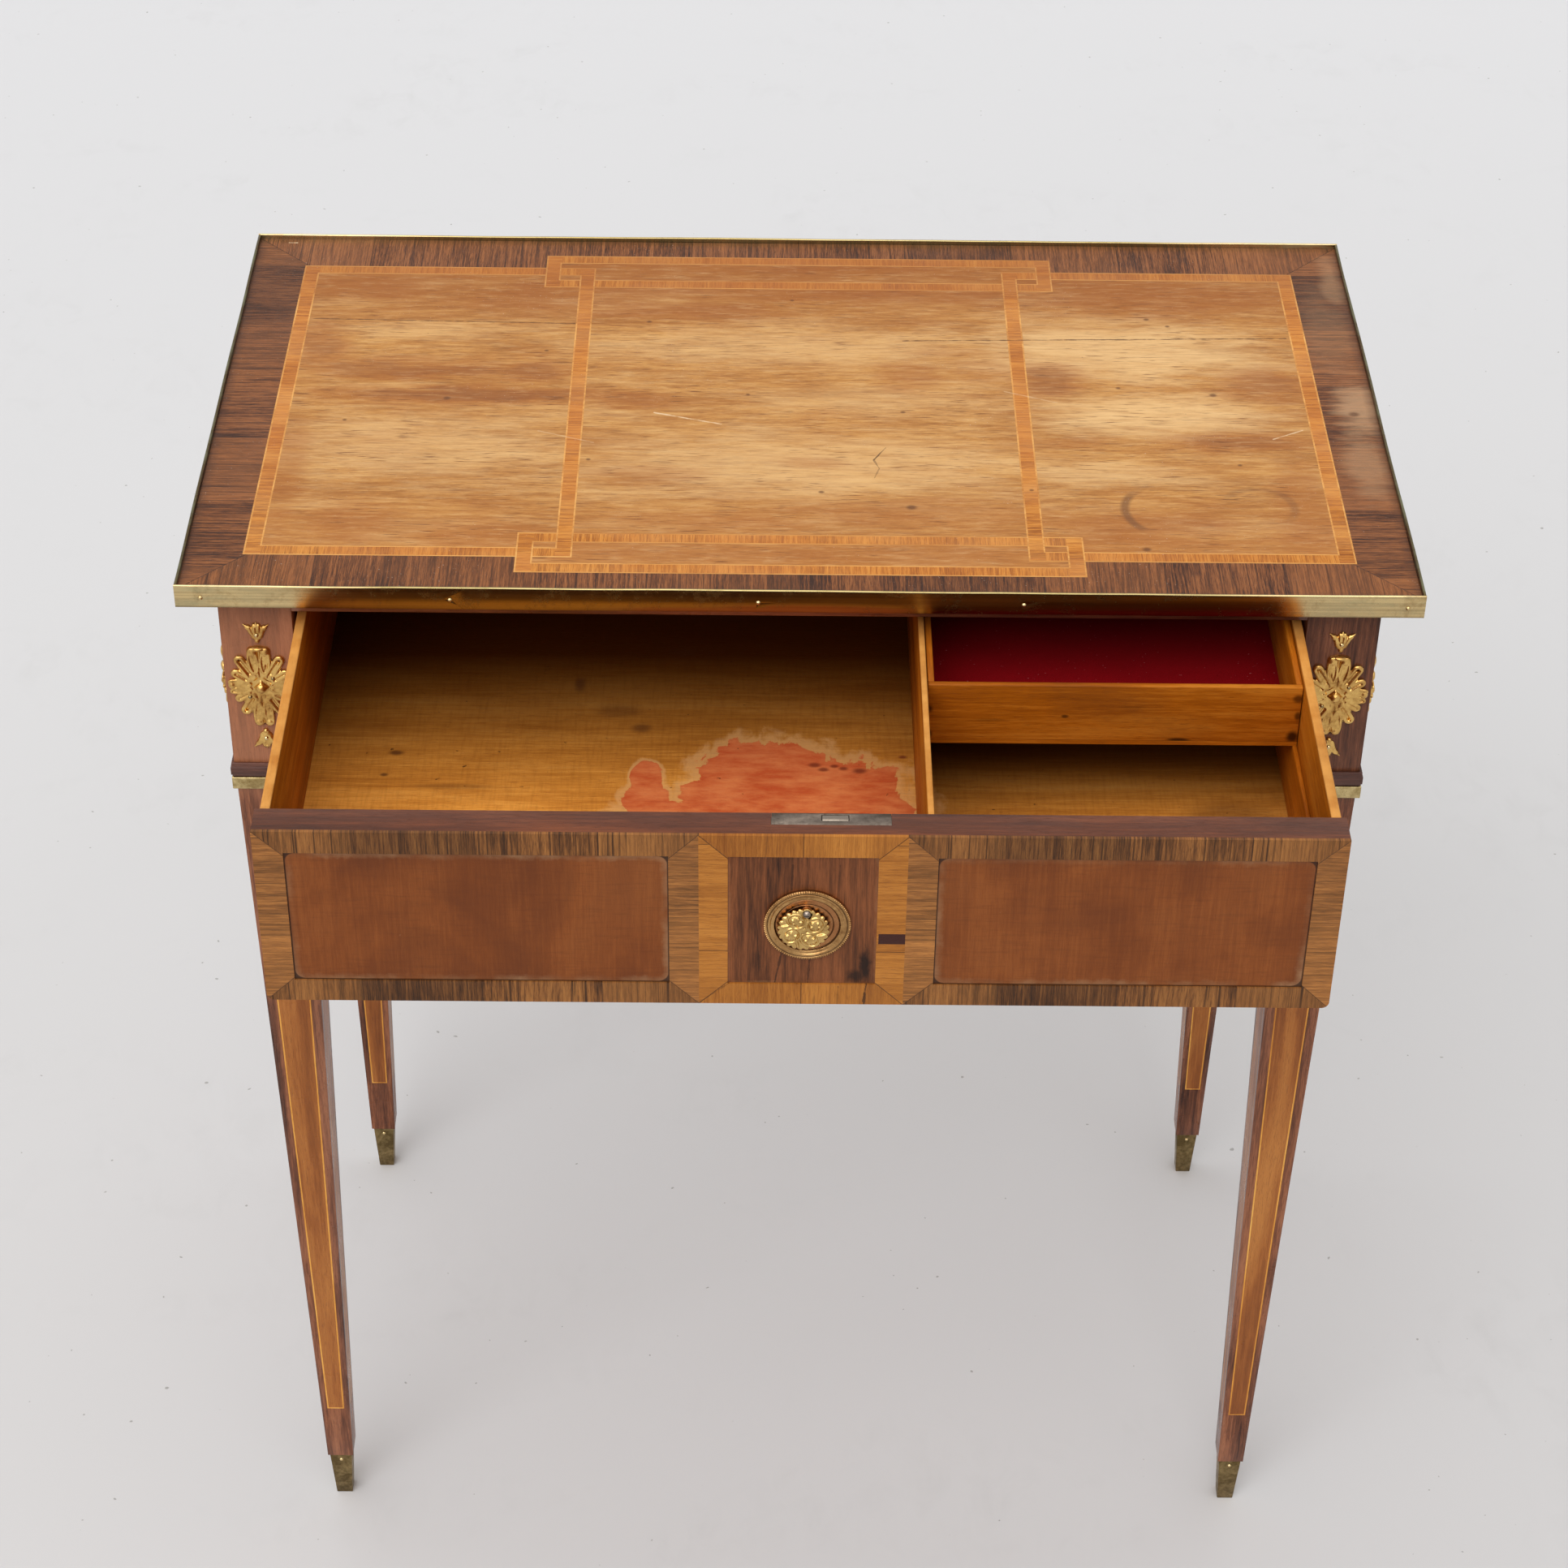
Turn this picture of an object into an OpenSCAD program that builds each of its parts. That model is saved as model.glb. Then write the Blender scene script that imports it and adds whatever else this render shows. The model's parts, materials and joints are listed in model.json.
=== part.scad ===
// Small veneered work table with one drawer, brass rim, gilt mounts and tapered legs.
// Millimetres. Origin on the floor under the middle of the table. +X right, +Y back, +Z up.
// The drawer is drawn partly open and the tray is pushed to the back of its compartment.

/* [Overall] */
// Height from the floor to the top of the brass rim
table_height = 760; // [700:1:820]
// Length of the wooden top from left to right, without its rim
top_length = 670; // [640:1:900]
// Depth of the wooden top from front to back, without its rim
top_depth = 386; // [376:1:480]
// How far the ends of the top stand past the leg blocks
end_overhang = 18.1; // [12:0.1:40]
// How far the front and back of the top stand past the leg blocks
front_overhang = 14.8; // [12:0.1:30]

/* [Top] */
// Thickness of the solid board of the top
board_thick = 10; // [8:0.5:18]
// Thickness of all veneers that lie flush
veneer_thick = 1; // [0.6:0.1:1.5]
// Width of the dark cross-grained border of the top at its ends
border_end = 31.2; // [24:0.1:50]
// Width of the dark cross-grained border of the top at front and back
border_front = 33.5; // [26:0.1:50]
// Width of an inlaid band with its two strings
band_w = 9.4; // [6:0.1:14]
// Width of one light string
string_w = 0.9; // [0.6:0.1:1.5]
// Length of an end frame of bands
end_frame_l = 179.1; // [150:0.1:220]
// How far a tab of bands reaches into an end frame
tab_reach = 30.8; // [15:0.1:45]
// Depth of a tab of bands
tab_d = 39; // [30:0.5:44]
// How far a tab stands past the end frames
tab_out = 15; // [11:0.5:20]

/* [Brass rim] */
// Height of the brass strip
rim_height = 14; // [13:0.5:18]
// Thickness of the brass strip
rim_thick = 1.5; // [1:0.1:3]
// How far the strip stands above the veneered surface
rim_lip = 3; // [1:0.5:6]
// Places of the front pins, as shares of half the length
front_pin_at = [-0.963, -0.563, -0.068, 0.359, 0.977];
// Number of pins along the back
back_pins = 5; // [2:1:8]
// Number of pins along each end
end_pins = 3; // [2:1:6]
// How far the outer pins of the back and the ends stand out, as a share of half the side
pin_reach = 0.95; // [0.8:0.01:0.97]
// Radius of a brass pin's round head
pin_head_r = 1.3; // [0.8:0.1:2]
// Radius of a brass pin's shank
pin_shank_r = 0.5; // [0.3:0.1:0.8]
// Length of a brass pin's shank
pin_shank_l = 5; // [3:0.5:8]

/* [Frieze] */
// Height of the frieze under the top
frieze_height = 126; // [110:1:150]
// Width of a square leg block
block_w = 39.8; // [34:0.2:50]
// Thickness of the frieze boards behind their veneer
apron_thick = 16; // [12:0.5:20]
// How far the cross-grained borders stand out from the boards
crossband_thick = 2; // [1.5:0.1:3]
// Width of the cross-grained borders at their sides
crossband_w = 15.3; // [10:0.1:22]
// Height of the cross-grained borders at top and bottom
crossband_h = 13.6; // [10:0.1:20]
// Length of a tenon
tenon_l = 14; // [8:0.5:18]
// Thickness of a tenon
tenon_thick = 7; // [5:0.5:9]
// Shoulder above and below a tenon
tenon_shoulder = 16; // [8:1:25]
// Height of the rail over the drawer
top_rail_h = 13.7; // [11:0.1:20]
// Depth of the rail over the drawer from front to back
top_rail_d = 28; // [22:1:36]
// Depth of the hidden rail behind the drawer front
low_rail_d = 20; // [14:1:30]
// Width of the drawer runners
runner_w = 19; // [12:1:30]
// Height that the drawer guides stand above the runners
guide_h = 28; // [15:1:40]
// Length of a glue block
glue_block_l = 44; // [20:1:60]
// Depth of a glue block, out from its apron
glue_block_d = 8; // [5:0.5:14]
// How far a glue block ends above the foot of the top rail, so that the drawer clears it
glue_block_up = 1.5; // [0.5:0.5:4]

/* [Legs] */
// Width of the leg just under the block
leg_top_w = 39; // [34:0.2:48]
// Width of the leg at its foot, above the brass shoe
leg_foot_w = 16.8; // [14:0.2:26]
// Thickness of the inlays in the legs
inlay_thick = 1; // [0.6:0.1:1.5]
// Height of the lower end of the leg inlay above the floor
inlay_low = 86.5; // [60:0.5:140]
// Gap between the drops of the collar and the leg inlay
inlay_top_gap = 16; // [6:1:60]
// Dark margin beside the inlay at its lower end
margin_low = 3.8; // [2.5:0.1:5]
// Dark margin beside the inlay at its upper end
margin_top = 7.1; // [5:0.1:10]

/* [Collars and shoes] */
// Height of the dark moulding at the foot of a block
moulding_h = 9.3; // [6:0.1:14]
// How far the moulding stands out
moulding_out = 2; // [1:0.1:4]
// Height of the brass band of the collar
collar_h = 8; // [5:0.5:12]
// How far the brass band stands out from the block
collar_out = 1.8; // [1:0.1:3]
// Height of a brass drop
drop_h = 9.4; // [6:0.1:14]
// Width of a brass drop at its top
drop_top_w = 6.6; // [4:0.1:9]
// Width of a brass drop at its foot
drop_foot_w = 11.4; // [8:0.1:15]
// Thickness of a brass drop
drop_thick = 1.6; // [1:0.1:2.5]
// Radius of the head of a collar screw
collar_screw_r = 1.7; // [1.2:0.1:2.5]
// Height of the brass shoe
shoe_h = 40; // [25:1:55]
// Width of the brass shoe at its top
shoe_top_w = 14.6; // [12:0.1:18]
// Width of the brass shoe at the floor
shoe_foot_w = 10.4; // [9:0.1:14]
// Thickness of the brass in the shoe
shoe_wall = 1.2; // [0.8:0.1:1.8]

/* [Gilt mounts] */
// Width of a rosette
rosette_w = 35; // [30:0.5:38]
// Height of a rosette
rosette_h = 56; // [46:0.5:62]
// Thickness of a rosette at its petals
rosette_thick = 2.6; // [1.5:0.1:4]
// Radius of the boss in the middle of a rosette
rosette_boss_r = 3.4; // [2:0.1:5]
// Height of the middle of a rosette above the foot of the frieze
rosette_up = 62.5; // [55:0.5:72]
// Width of a bellflower at its tips
bell_w = 16; // [10:0.5:20]
// Height of a bellflower
bell_h = 14; // [9:0.5:16]
// Thickness of a bellflower
bell_thick = 2; // [1.2:0.1:3]

/* [Drawer] */
// How far the drawer is drawn open
drawer_open = 192; // [0:1:230]
// Gap all round the drawer front in its opening
drawer_gap = 0.6; // [0.4:0.1:2]
// Thickness of the drawer front with its veneers
front_thick = 19; // [16:0.5:24]
// Radius of the lower corners of the drawer front
front_corner_r = 4; // [1:0.5:8]
// Depth of the drawer from its front face to its back
drawer_depth = 332; // [300:1:338]
// Thickness of the drawer's side boards
side_thick = 5.1; // [4:0.1:10]
// How far the sides are set in from the ends of the front
side_inset = 2.5; // [1:0.1:8]
// Height of the drawer sides above the foot of the frieze
side_foot = 20; // [12:1:30]
// Thickness of the drawer's back board
back_thick = 6; // [4:0.5:10]
// Thickness of the drawer's bottom board
bottom_thick = 6; // [4:0.5:8]
// Height of the bottom board above the lower edge of the sides
bottom_up = 4; // [2:0.5:8]
// Depth of the grooves that hold the bottom board
groove_d = 2.5; // [1:0.5:3.5]
// Distance of the divider's left face from the middle of the drawer
divider_at = 64.3; // [0:0.1:120]
// Thickness of the divider
divider_thick = 3.3; // [3:0.1:8]
// Middle of the inlaid centre field, right of the middle of the drawer
centre_at = 1.3; // [-5:0.1:5]
// Width of the light centre frame over its outside
centre_frame_w = 106; // [90:0.5:130]
// Width of the strips of the light centre frame
centre_strip_w = 14.8; // [10:0.1:20]

/* [Lock] */
// Middle of the escutcheon, right of the middle of the drawer
keyhole_at = 3.9; // [-10:0.1:15]
// Middle of the escutcheon below the top edge of the drawer front
keyhole_down = 57.6; // [52:0.1:64]
// Radius of the escutcheon
escutcheon_r = 22.4; // [18:0.1:26]
// Radius of the sunk field of the escutcheon
escutcheon_field_r = 17.2; // [14:0.1:18]
// Thickness of the sunk field of the escutcheon
escutcheon_thick = 1.2; // [0.8:0.1:2]
// How far the edge of the escutcheon stands above its field
escutcheon_edge = 1; // [0.6:0.1:2]
// Radius of the keyhole's round part
keyhole_r = 2.6; // [1.5:0.1:3.5]
// Length of the keyhole's slot below its round part
keyhole_slot = 7; // [4:0.5:9]
// Radius of the swinging cover
cover_r = 13.9; // [11:0.1:16]
// Thickness of the swinging cover
cover_thick = 2.4; // [1.5:0.1:4]
// Distance from the pivot to the middle of the cover
cover_arm = 10.9; // [8:0.1:12]
// Turn of the cover away from hanging straight down
cover_turn = 8.4; // [-15:0.1:15]
// Radius of the pivot screw
pivot_r = 1.3; // [0.8:0.1:2]
// Length of the pivot screw inside the drawer front
pivot_l = 5; // [3:0.5:8]
// Height of the pivot screw above the middle of the escutcheon
pivot_up = 9.2; // [8.5:0.1:10]
// Distance of the pivot screw to the left of the middle of the escutcheon
pivot_aside = 0.4; // [-1:0.1:1]
// Length, depth and thickness of the lock's top plate
lock_plate = [60.8, 9.5, 2]; // [1:0.1:80]
// Middle of the lock, right of the middle of the drawer
lock_at = 15.3; // [10:0.1:20]
// Height of the lock
lock_h = 70; // [66:1:74]
// Width of the lock's box between its flanges
lock_box_w = 44; // [36:1:48]
// Thickness of the lock's back plate
lock_back = 1.2; // [0.8:0.1:2]
// Width, depth and length of the lock bolt
bolt_size = [13.6, 4.4, 46]; // [3:0.1:60]
// Middle of the lock bolt, right of the middle of the drawer
bolt_at = 17.3; // [14:0.1:20]
// Upward travel of the lock bolt
bolt_travel = 6.5; // [4:0.5:9]

/* [Tray] */
// Length of the tray from front to back
tray_l = 191; // [140:1:210]
// Height of the tray with its bottom
tray_h = 38.5; // [20:0.5:39]
// Thickness of the tray's walls
tray_wall = 3.5; // [2.5:0.1:6]
// Thickness of the tray's bottom board
tray_floor = 2.5; // [2:0.5:5]
// Thickness of the tray's lining
lining_thick = 1; // [0.5:0.1:2]
// Height of the ledges that carry the tray
ledge_h = 39.7; // [25:0.1:41]
// Thickness of the ledges that carry the tray
ledge_thick = 2.5; // [2:0.1:5]

/* [Fits] */
// Gap between pieces that slide on each other
slide_gap = 0.3; // [0.2:0.05:0.8]
// Gap beside pieces that slide past each other
side_gap = 0.5; // [0.3:0.05:1.5]
// Gap between pieces that are let in and glued
glue_gap = 0.1; // [0.05:0.05:0.2]

/* [Hidden] */
$fn = 48;
// A cut passes this far beyond the face that it opens
past = 1;

// Heights and places of the table's frame
surface_z = table_height - rim_lip;
board_top_z = surface_z - veneer_thick;
under_z = board_top_z - board_thick;
frieze_z = under_z - frieze_height;
half_l = top_length / 2;
half_d = top_depth / 2;
block_x = half_l - end_overhang;
block_y = half_d - front_overhang;
leg_x = block_x - block_w / 2;
leg_y = block_y - block_w / 2;
inner_x = block_x - block_w;
inner_y = block_y - block_w;
apron_face_x = block_x - crossband_thick;
apron_face_y = block_y - crossband_thick;
apron_in_x = apron_face_x - apron_thick;
apron_in_y = apron_face_y - apron_thick;

// Heights of the collar and the leg inlay
collar_top = frieze_z - drawer_gap;
collar_foot = collar_top - collar_h;
drop_foot = collar_foot - drop_h;
inlay_top = drop_foot - inlay_top_gap;
leg_slope = (leg_top_w - leg_foot_w) / 2 / (frieze_z - shoe_h);
leg_lean = atan(leg_slope);

// Heights and places of the drawer, as if it were closed
rail_foot_z = under_z - top_rail_h;
front_top_z = rail_foot_z - drawer_gap - slide_gap;
front_half = inner_x - drawer_gap;
front_back_y = -block_y + front_thick;
front_core_y = -block_y + crossband_thick;
side_out = front_half - side_inset;
side_in = side_out - side_thick;
side_foot_z = frieze_z + side_foot;
side_top_z = front_top_z - side_gap;
drawer_end_y = -block_y + drawer_depth;
back_in_y = drawer_end_y - back_thick;
floor_foot_z = side_foot_z + bottom_up;
floor_z = floor_foot_z + bottom_thick;
divider_right = divider_at + divider_thick;
runner_z = side_foot_z - slide_gap;
keyhole_z = front_top_z - keyhole_down;
panel_low = frieze_z + crossband_h;
panel_top = front_top_z - crossband_h;
centre_left = centre_at - centre_frame_w / 2;
centre_right = centre_at + centre_frame_w / 2;

// Places of the keyhole cover and its pivot
field_y = -block_y + veneer_thick;
edge_y = field_y - escutcheon_thick - escutcheon_edge;
cover_y = edge_y - slide_gap;
cover_plate = cover_thick * 0.6;
pivot_x = keyhole_at - pivot_aside;
pivot_z = keyhole_z + pivot_up;

// Places of the tray
tray_left = divider_right + side_gap;
tray_right = side_in - side_gap;
tray_z = floor_z + ledge_h + slide_gap;
tray_back_y = back_in_y - side_gap;
tray_front_y = tray_back_y - tray_l;

// A cuboid between two corners
module block(low, high) {
    translate(low) cube(high - low);
}

// A flat rectangle between two corners
module patch(low, high) {
    translate(low) square(high - low);
}

module scale_x(s) {
    if (s < 0) mirror([1, 0, 0]) children();
    else children();
}

module scale_y(s) {
    if (s < 0) mirror([0, 1, 0]) children();
    else children();
}

// The top's pattern, drawn flat and seen from above
band_x = half_l - border_end;
band_y = half_d - border_front;
end_in = band_x - end_frame_l;
tab_x = end_in + tab_reach;
tab_y = band_y + tab_out;

module end_frame_area(inset = 0) {
    patch([end_in + inset, -band_y + inset], [band_x - inset, band_y - inset]);
}

module tab_area(inset = 0) {
    patch([-tab_x + inset, tab_y - tab_d + inset], [tab_x - inset, tab_y - inset]);
}

module end_frame_ring(outer, inner) {
    difference() {
        end_frame_area(outer);
        end_frame_area(inner);
    }
}

module tab_ring(outer, inner) {
    difference() {
        tab_area(outer);
        tab_area(inner);
    }
}

// Where a tab's end band lies over the end frame
module tab_crossing() {
    patch([tab_x - band_w, band_y - band_w - past], [tab_x, band_y + past]);
}

// Where the end frame's inner band lies over the tab
module frame_crossing() {
    patch([end_in, tab_y - tab_d - past], [end_in + band_w, tab_y - tab_d + band_w + past]);
}

module end_frame_strings() {
    end_frame_ring(0, string_w);
    end_frame_ring(band_w - string_w, band_w);
}

module tab_strings() {
    tab_ring(0, string_w);
    tab_ring(band_w - string_w, band_w);
}

module all_strings() {
    for (s = [-1, 1]) scale_x(s) {
        difference() {
            end_frame_strings();
            for (t = [-1, 1]) scale_y(t) tab_crossing();
        }
    }
    for (t = [-1, 1]) scale_y(t) {
        difference() {
            tab_strings();
            for (s = [-1, 1]) scale_x(s) frame_crossing();
        }
    }
}

module all_bands() {
    for (s = [-1, 1]) scale_x(s) end_frame_ring(0, band_w);
    for (t = [-1, 1]) scale_y(t) tab_ring(0, band_w);
}

module inside_bands() {
    patch([-band_x, -band_y], [band_x, band_y]);
    for (t = [-1, 1]) scale_y(t) tab_area();
}

module top_layer() {
    translate([0, 0, board_top_z]) linear_extrude(veneer_thick) children();
}

module top_board() {
    color([0.55, 0.36, 0.2]) difference() {
        block([-half_l, -half_d, under_z], [half_l, half_d, board_top_z]);
        rim_pin_shanks(glue_gap);
    }
}

module top_border_veneer() {
    color([0.43, 0.25, 0.18]) top_layer() difference() {
        patch([-half_l, -half_d], [half_l, half_d]);
        inside_bands();
    }
}

module top_field_veneer() {
    color([0.75, 0.55, 0.31]) top_layer() difference() {
        inside_bands();
        all_bands();
    }
}

module top_crossbands() {
    color([0.8, 0.51, 0.24]) top_layer() difference() {
        all_bands();
        all_strings();
    }
}

module top_stringing() {
    color([0.92, 0.71, 0.37]) top_layer() all_strings();
}

// A strip of the rim along X, its inner face at y 0 and its upper edge rounded
module rim_strip(length) {
    edge_r = rim_thick / 2;
    rim_foot = table_height - rim_height;
    block([-length / 2, 0, rim_foot], [length / 2, rim_thick, table_height - edge_r]);
    translate([-length / 2, edge_r, table_height - edge_r])
        rotate([0, 90, 0]) cylinder(r = edge_r, h = length);
}

module rim_long(s) {
    color([0.62, 0.56, 0.38]) difference() {
        scale_y(s) translate([0, half_d, 0]) rim_strip(top_length + 2 * rim_thick);
        rim_pin_shanks(glue_gap);
    }
}

module rim_short(s) {
    color([0.62, 0.56, 0.38]) difference() {
        scale_x(s) translate([half_l, 0, 0]) rotate([0, 0, -90]) rim_strip(top_depth);
        rim_pin_shanks(glue_gap);
    }
}

module rim_front() { rim_long(-1); }
module rim_back() { rim_long(1); }
module rim_left() { rim_short(-1); }
module rim_right() { rim_short(1); }

// Every place where a pin goes into the rim, its local +Z pointing out of the rim
module at_rim_pins() {
    pin_z = under_z + board_thick / 2 + veneer_thick;
    for (f = front_pin_at)
        translate([f * half_l, -half_d - rim_thick, pin_z]) rotate([90, 0, 0]) children();
    for (i = [0 : back_pins - 1])
        translate([(2 * i / (back_pins - 1) - 1) * pin_reach * half_l, half_d + rim_thick, pin_z])
            rotate([-90, 0, 0]) children();
    for (s = [-1, 1], i = [0 : end_pins - 1])
        translate([s * (half_l + rim_thick), (2 * i / (end_pins - 1) - 1) * pin_reach * half_d, pin_z])
            rotate([0, s * 90, 0]) children();
}

module rim_pin_shanks(grow) {
    at_rim_pins() translate([0, 0, -pin_shank_l - grow])
        cylinder(r = pin_shank_r + grow, h = pin_shank_l + grow + past, $fn = 16);
}

// A round-headed pin whose head sits on z 0
module brass_pin() {
    translate([0, 0, -pin_shank_l]) cylinder(r = pin_shank_r, h = pin_shank_l, $fn = 16);
    pin_dome(pin_head_r);
}

// The round head of a pin or screw, flat at z 0
module pin_dome(r) {
    rotate_extrude($fn = 24) intersection() {
        translate([0, -r * 0.35]) circle(r = r * 1.06);
        patch([0, 0], [r, r]);
    }
}

module brass_pins() {
    color([0.75, 0.68, 0.45]) {
        at_rim_pins() brass_pin();
        at_outer_faces() at_mount_pins() pin_dome(pin_head_r);
        for (sx = [-1, 1], sy = [-1, 1])
            translate([sx * leg_x, sy * leg_y, 0]) at_shoe_pins() pin_dome(pin_head_r);
    }
}

// Frieze boards and rails
module side_tenon(s, grow = 0) {
    mid = (apron_face_x + apron_in_x) / 2;
    scale_x(s) block(
        [mid - tenon_thick / 2 - grow, -inner_y - tenon_l - grow, frieze_z + tenon_shoulder - grow],
        [mid + tenon_thick / 2 + grow, inner_y + tenon_l + grow, under_z - tenon_shoulder + grow]);
}

module back_tenon(grow = 0) {
    mid = (apron_face_y + apron_in_y) / 2;
    block([-inner_x - tenon_l - grow, mid - tenon_thick / 2 - grow, frieze_z + tenon_shoulder - grow],
        [inner_x + tenon_l + grow, mid + tenon_thick / 2 + grow, under_z - tenon_shoulder + grow]);
}

module side_apron(s) {
    color([0.5, 0.32, 0.18]) union() {
        scale_x(s) block([apron_in_x, -inner_y, frieze_z], [apron_face_x, inner_y, under_z]);
        side_tenon(s);
    }
}

module side_apron_left() { side_apron(-1); }
module side_apron_right() { side_apron(1); }

module back_apron() {
    color([0.5, 0.32, 0.18]) union() {
        block([-inner_x, apron_in_y, frieze_z], [inner_x, apron_face_y, under_z]);
        back_tenon();
    }
}

// The outline of one frieze side between the legs, and the panel inside its border
module frieze_face(half) {
    patch([-half, frieze_z], [half, under_z]);
}

module frieze_panel(half) {
    patch([-half + crossband_w, frieze_z + crossband_h], [half - crossband_w, under_z - crossband_h]);
}

// Puts a flat shape on the outside of the back and the two end friezes
module on_back(depth) {
    translate([0, apron_face_y + depth, 0]) rotate([90, 0, 0]) linear_extrude(depth) children();
}

module on_end(s, depth) {
    scale_x(s) translate([apron_face_x, 0, 0]) rotate([90, 0, 90]) linear_extrude(depth) children();
}

module apron_crossbanding() {
    color([0.55, 0.37, 0.22]) {
        on_back(crossband_thick) difference() {
            frieze_face(inner_x);
            frieze_panel(inner_x);
        }
        for (s = [-1, 1]) on_end(s, crossband_thick) difference() {
            frieze_face(inner_y);
            frieze_panel(inner_y);
        }
    }
}

module apron_panels() {
    color([0.5, 0.28, 0.15]) {
        on_back(veneer_thick) frieze_panel(inner_x);
        for (s = [-1, 1]) on_end(s, veneer_thick) frieze_panel(inner_y);
    }
}

module front_top_rail() {
    mortise = bolt_travel + drawer_gap + side_gap;
    bolt_y = front_back_y - lock_back - slide_gap - bolt_size.y;
    color([0.4, 0.24, 0.16]) difference() {
        block([-inner_x, -block_y, rail_foot_z], [inner_x, -block_y + top_rail_d, under_z]);
        block([bolt_at - bolt_size.x / 2 - side_gap, bolt_y - side_gap, rail_foot_z - past],
            [bolt_at + bolt_size.x / 2 + side_gap, bolt_y + bolt_size.y + side_gap,
                rail_foot_z + mortise]);
    }
}

module low_rail_tenons(grow = 0) {
    block([-inner_x - tenon_l / 2 - grow, front_back_y + low_rail_d / 2 - tenon_thick / 2 - grow,
            frieze_z + side_foot / 4 - grow],
        [inner_x + tenon_l / 2 + grow, front_back_y + low_rail_d / 2 + tenon_thick / 2 + grow,
            frieze_z + side_foot * 3 / 4 + grow]);
}

module front_low_rail() {
    color([0.5, 0.34, 0.2]) union() {
        block([-inner_x, front_back_y + side_gap, frieze_z],
            [inner_x, front_back_y + low_rail_d, runner_z - side_gap]);
        low_rail_tenons();
    }
}

// The drawer slides on the runner and is held sideways by the guide that stands on it
module runner(s) {
    guide_x = side_out + side_gap;
    color([0.6, 0.42, 0.24]) scale_x(s) union() {
        block([guide_x - runner_w, front_back_y + low_rail_d, frieze_z],
            [guide_x, apron_in_y, runner_z]);
        block([guide_x, -inner_y, frieze_z], [apron_in_x, inner_y, runner_z + guide_h]);
    }
}

module runner_left() { runner(-1); }
module runner_right() { runner(1); }

module kicker(s) {
    color([0.6, 0.42, 0.24]) scale_x(s)
        block([side_out - runner_w, -block_y + top_rail_d, rail_foot_z], [side_out, apron_in_y, under_z]);
}

module kicker_left() { kicker(-1); }
module kicker_right() { kicker(1); }

module glue_blocks() {
    foot_z = rail_foot_z + glue_block_up;
    half = glue_block_l / 2;
    color([0.66, 0.48, 0.28]) {
        for (s = [-1, 1], t = [-1, 1]) scale_x(s)
            block([apron_in_x - glue_block_d, t * inner_y / 2 - half, foot_z],
                [apron_in_x, t * inner_y / 2 + half, under_z]);
        for (t = [-1, 1])
            block([t * inner_x / 3 - half, apron_in_y - glue_block_d, foot_z],
                [t * inner_x / 3 + half, apron_in_y, under_z]);
    }
}

// A square stick whose four faces slope alike, from width w0 at z0 to width w1 at z1
module taper(z0, w0, z1, w1) {
    reach = max(w0, w1);
    intersection_for (turn = [0, 90])
        rotate([0, 0, turn]) translate([0, reach, 0]) rotate([90, 0, 0]) linear_extrude(2 * reach)
            polygon([[-w0 / 2, z0], [w0 / 2, z0], [w1 / 2, z1], [-w1 / 2, z1]]);
}

// The leg's top goes a little way into its block, so that the two are one solid
module leg_taper(into_block = past) {
    taper(shoe_h, leg_foot_w, frieze_z + into_block, leg_top_w + 2 * leg_slope * into_block);
}

// The part of the leg that goes down into the brass shoe
shoe_slope = (shoe_top_w - shoe_foot_w) / shoe_h;
function shoe_w(z) = shoe_foot_w + shoe_slope * z;

// The tongue starts a little way up inside the leg, so that the two are one solid
module shoe_tongue(grow = 0) {
    wall = 2 * (shoe_wall + glue_gap - grow);
    low = 2 * shoe_wall - grow;
    high = shoe_h + past;
    taper(low, shoe_w(low) - wall, high, shoe_w(high) - wall);
}

// The inlay on one face of a leg: its outline can be drawn in by a margin
inlay_l = inlay_top - inlay_low;
inlay_foot_half = leg_foot_w / 2 + leg_slope * (inlay_low - shoe_h) - margin_low;
inlay_top_half = leg_foot_w / 2 + leg_slope * (inlay_top - shoe_h) - margin_top;

module inlay_outline(inset) {
    polygon([[-inlay_foot_half + inset, inset], [inlay_foot_half - inset, inset],
        [inlay_top_half - inset, inlay_l - inset], [-inlay_top_half + inset, inlay_l - inset]]);
}

// Lays a flat shape on the sloping face of a leg, from outside the face to the inlay's depth
module on_leg_faces(outside = 0) {
    face_y = -leg_foot_w / 2 - leg_slope * (inlay_low - shoe_h);
    for (turn = [0 : 90 : 270]) rotate([0, 0, turn])
        translate([0, face_y, inlay_low]) rotate([leg_lean, 0, 0])
            translate([0, inlay_thick, 0]) rotate([90, 0, 0])
                linear_extrude(inlay_thick + outside) children();
}

module leg(sx, sy) {
    color([0.38, 0.2, 0.13]) difference() {
        translate([sx * leg_x, sy * leg_y, 0]) difference() {
            union() {
                block([-block_w / 2, -block_w / 2, frieze_z], [block_w / 2, block_w / 2, under_z]);
                leg_taper();
                shoe_tongue();
            }
            on_leg_faces(past) inlay_outline(0);
        }
        side_tenon(sx, glue_gap);
        if (sy > 0) back_tenon(glue_gap);
        if (sy < 0) low_rail_tenons(glue_gap);
    }
}

module leg_front_left() { leg(-1, -1); }
module leg_front_right() { leg(1, -1); }
module leg_back_left() { leg(-1, 1); }
module leg_back_right() { leg(1, 1); }

module at_legs() {
    for (sx = [-1, 1], sy = [-1, 1]) translate([sx * leg_x, sy * leg_y, 0]) children();
}

module leg_inlay_panels() {
    color([0.72, 0.45, 0.24]) at_legs() on_leg_faces() inlay_outline(string_w);
}

module leg_stringing() {
    color([0.93, 0.72, 0.38]) at_legs() on_leg_faces() difference() {
        inlay_outline(0);
        inlay_outline(string_w);
    }
}

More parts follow.
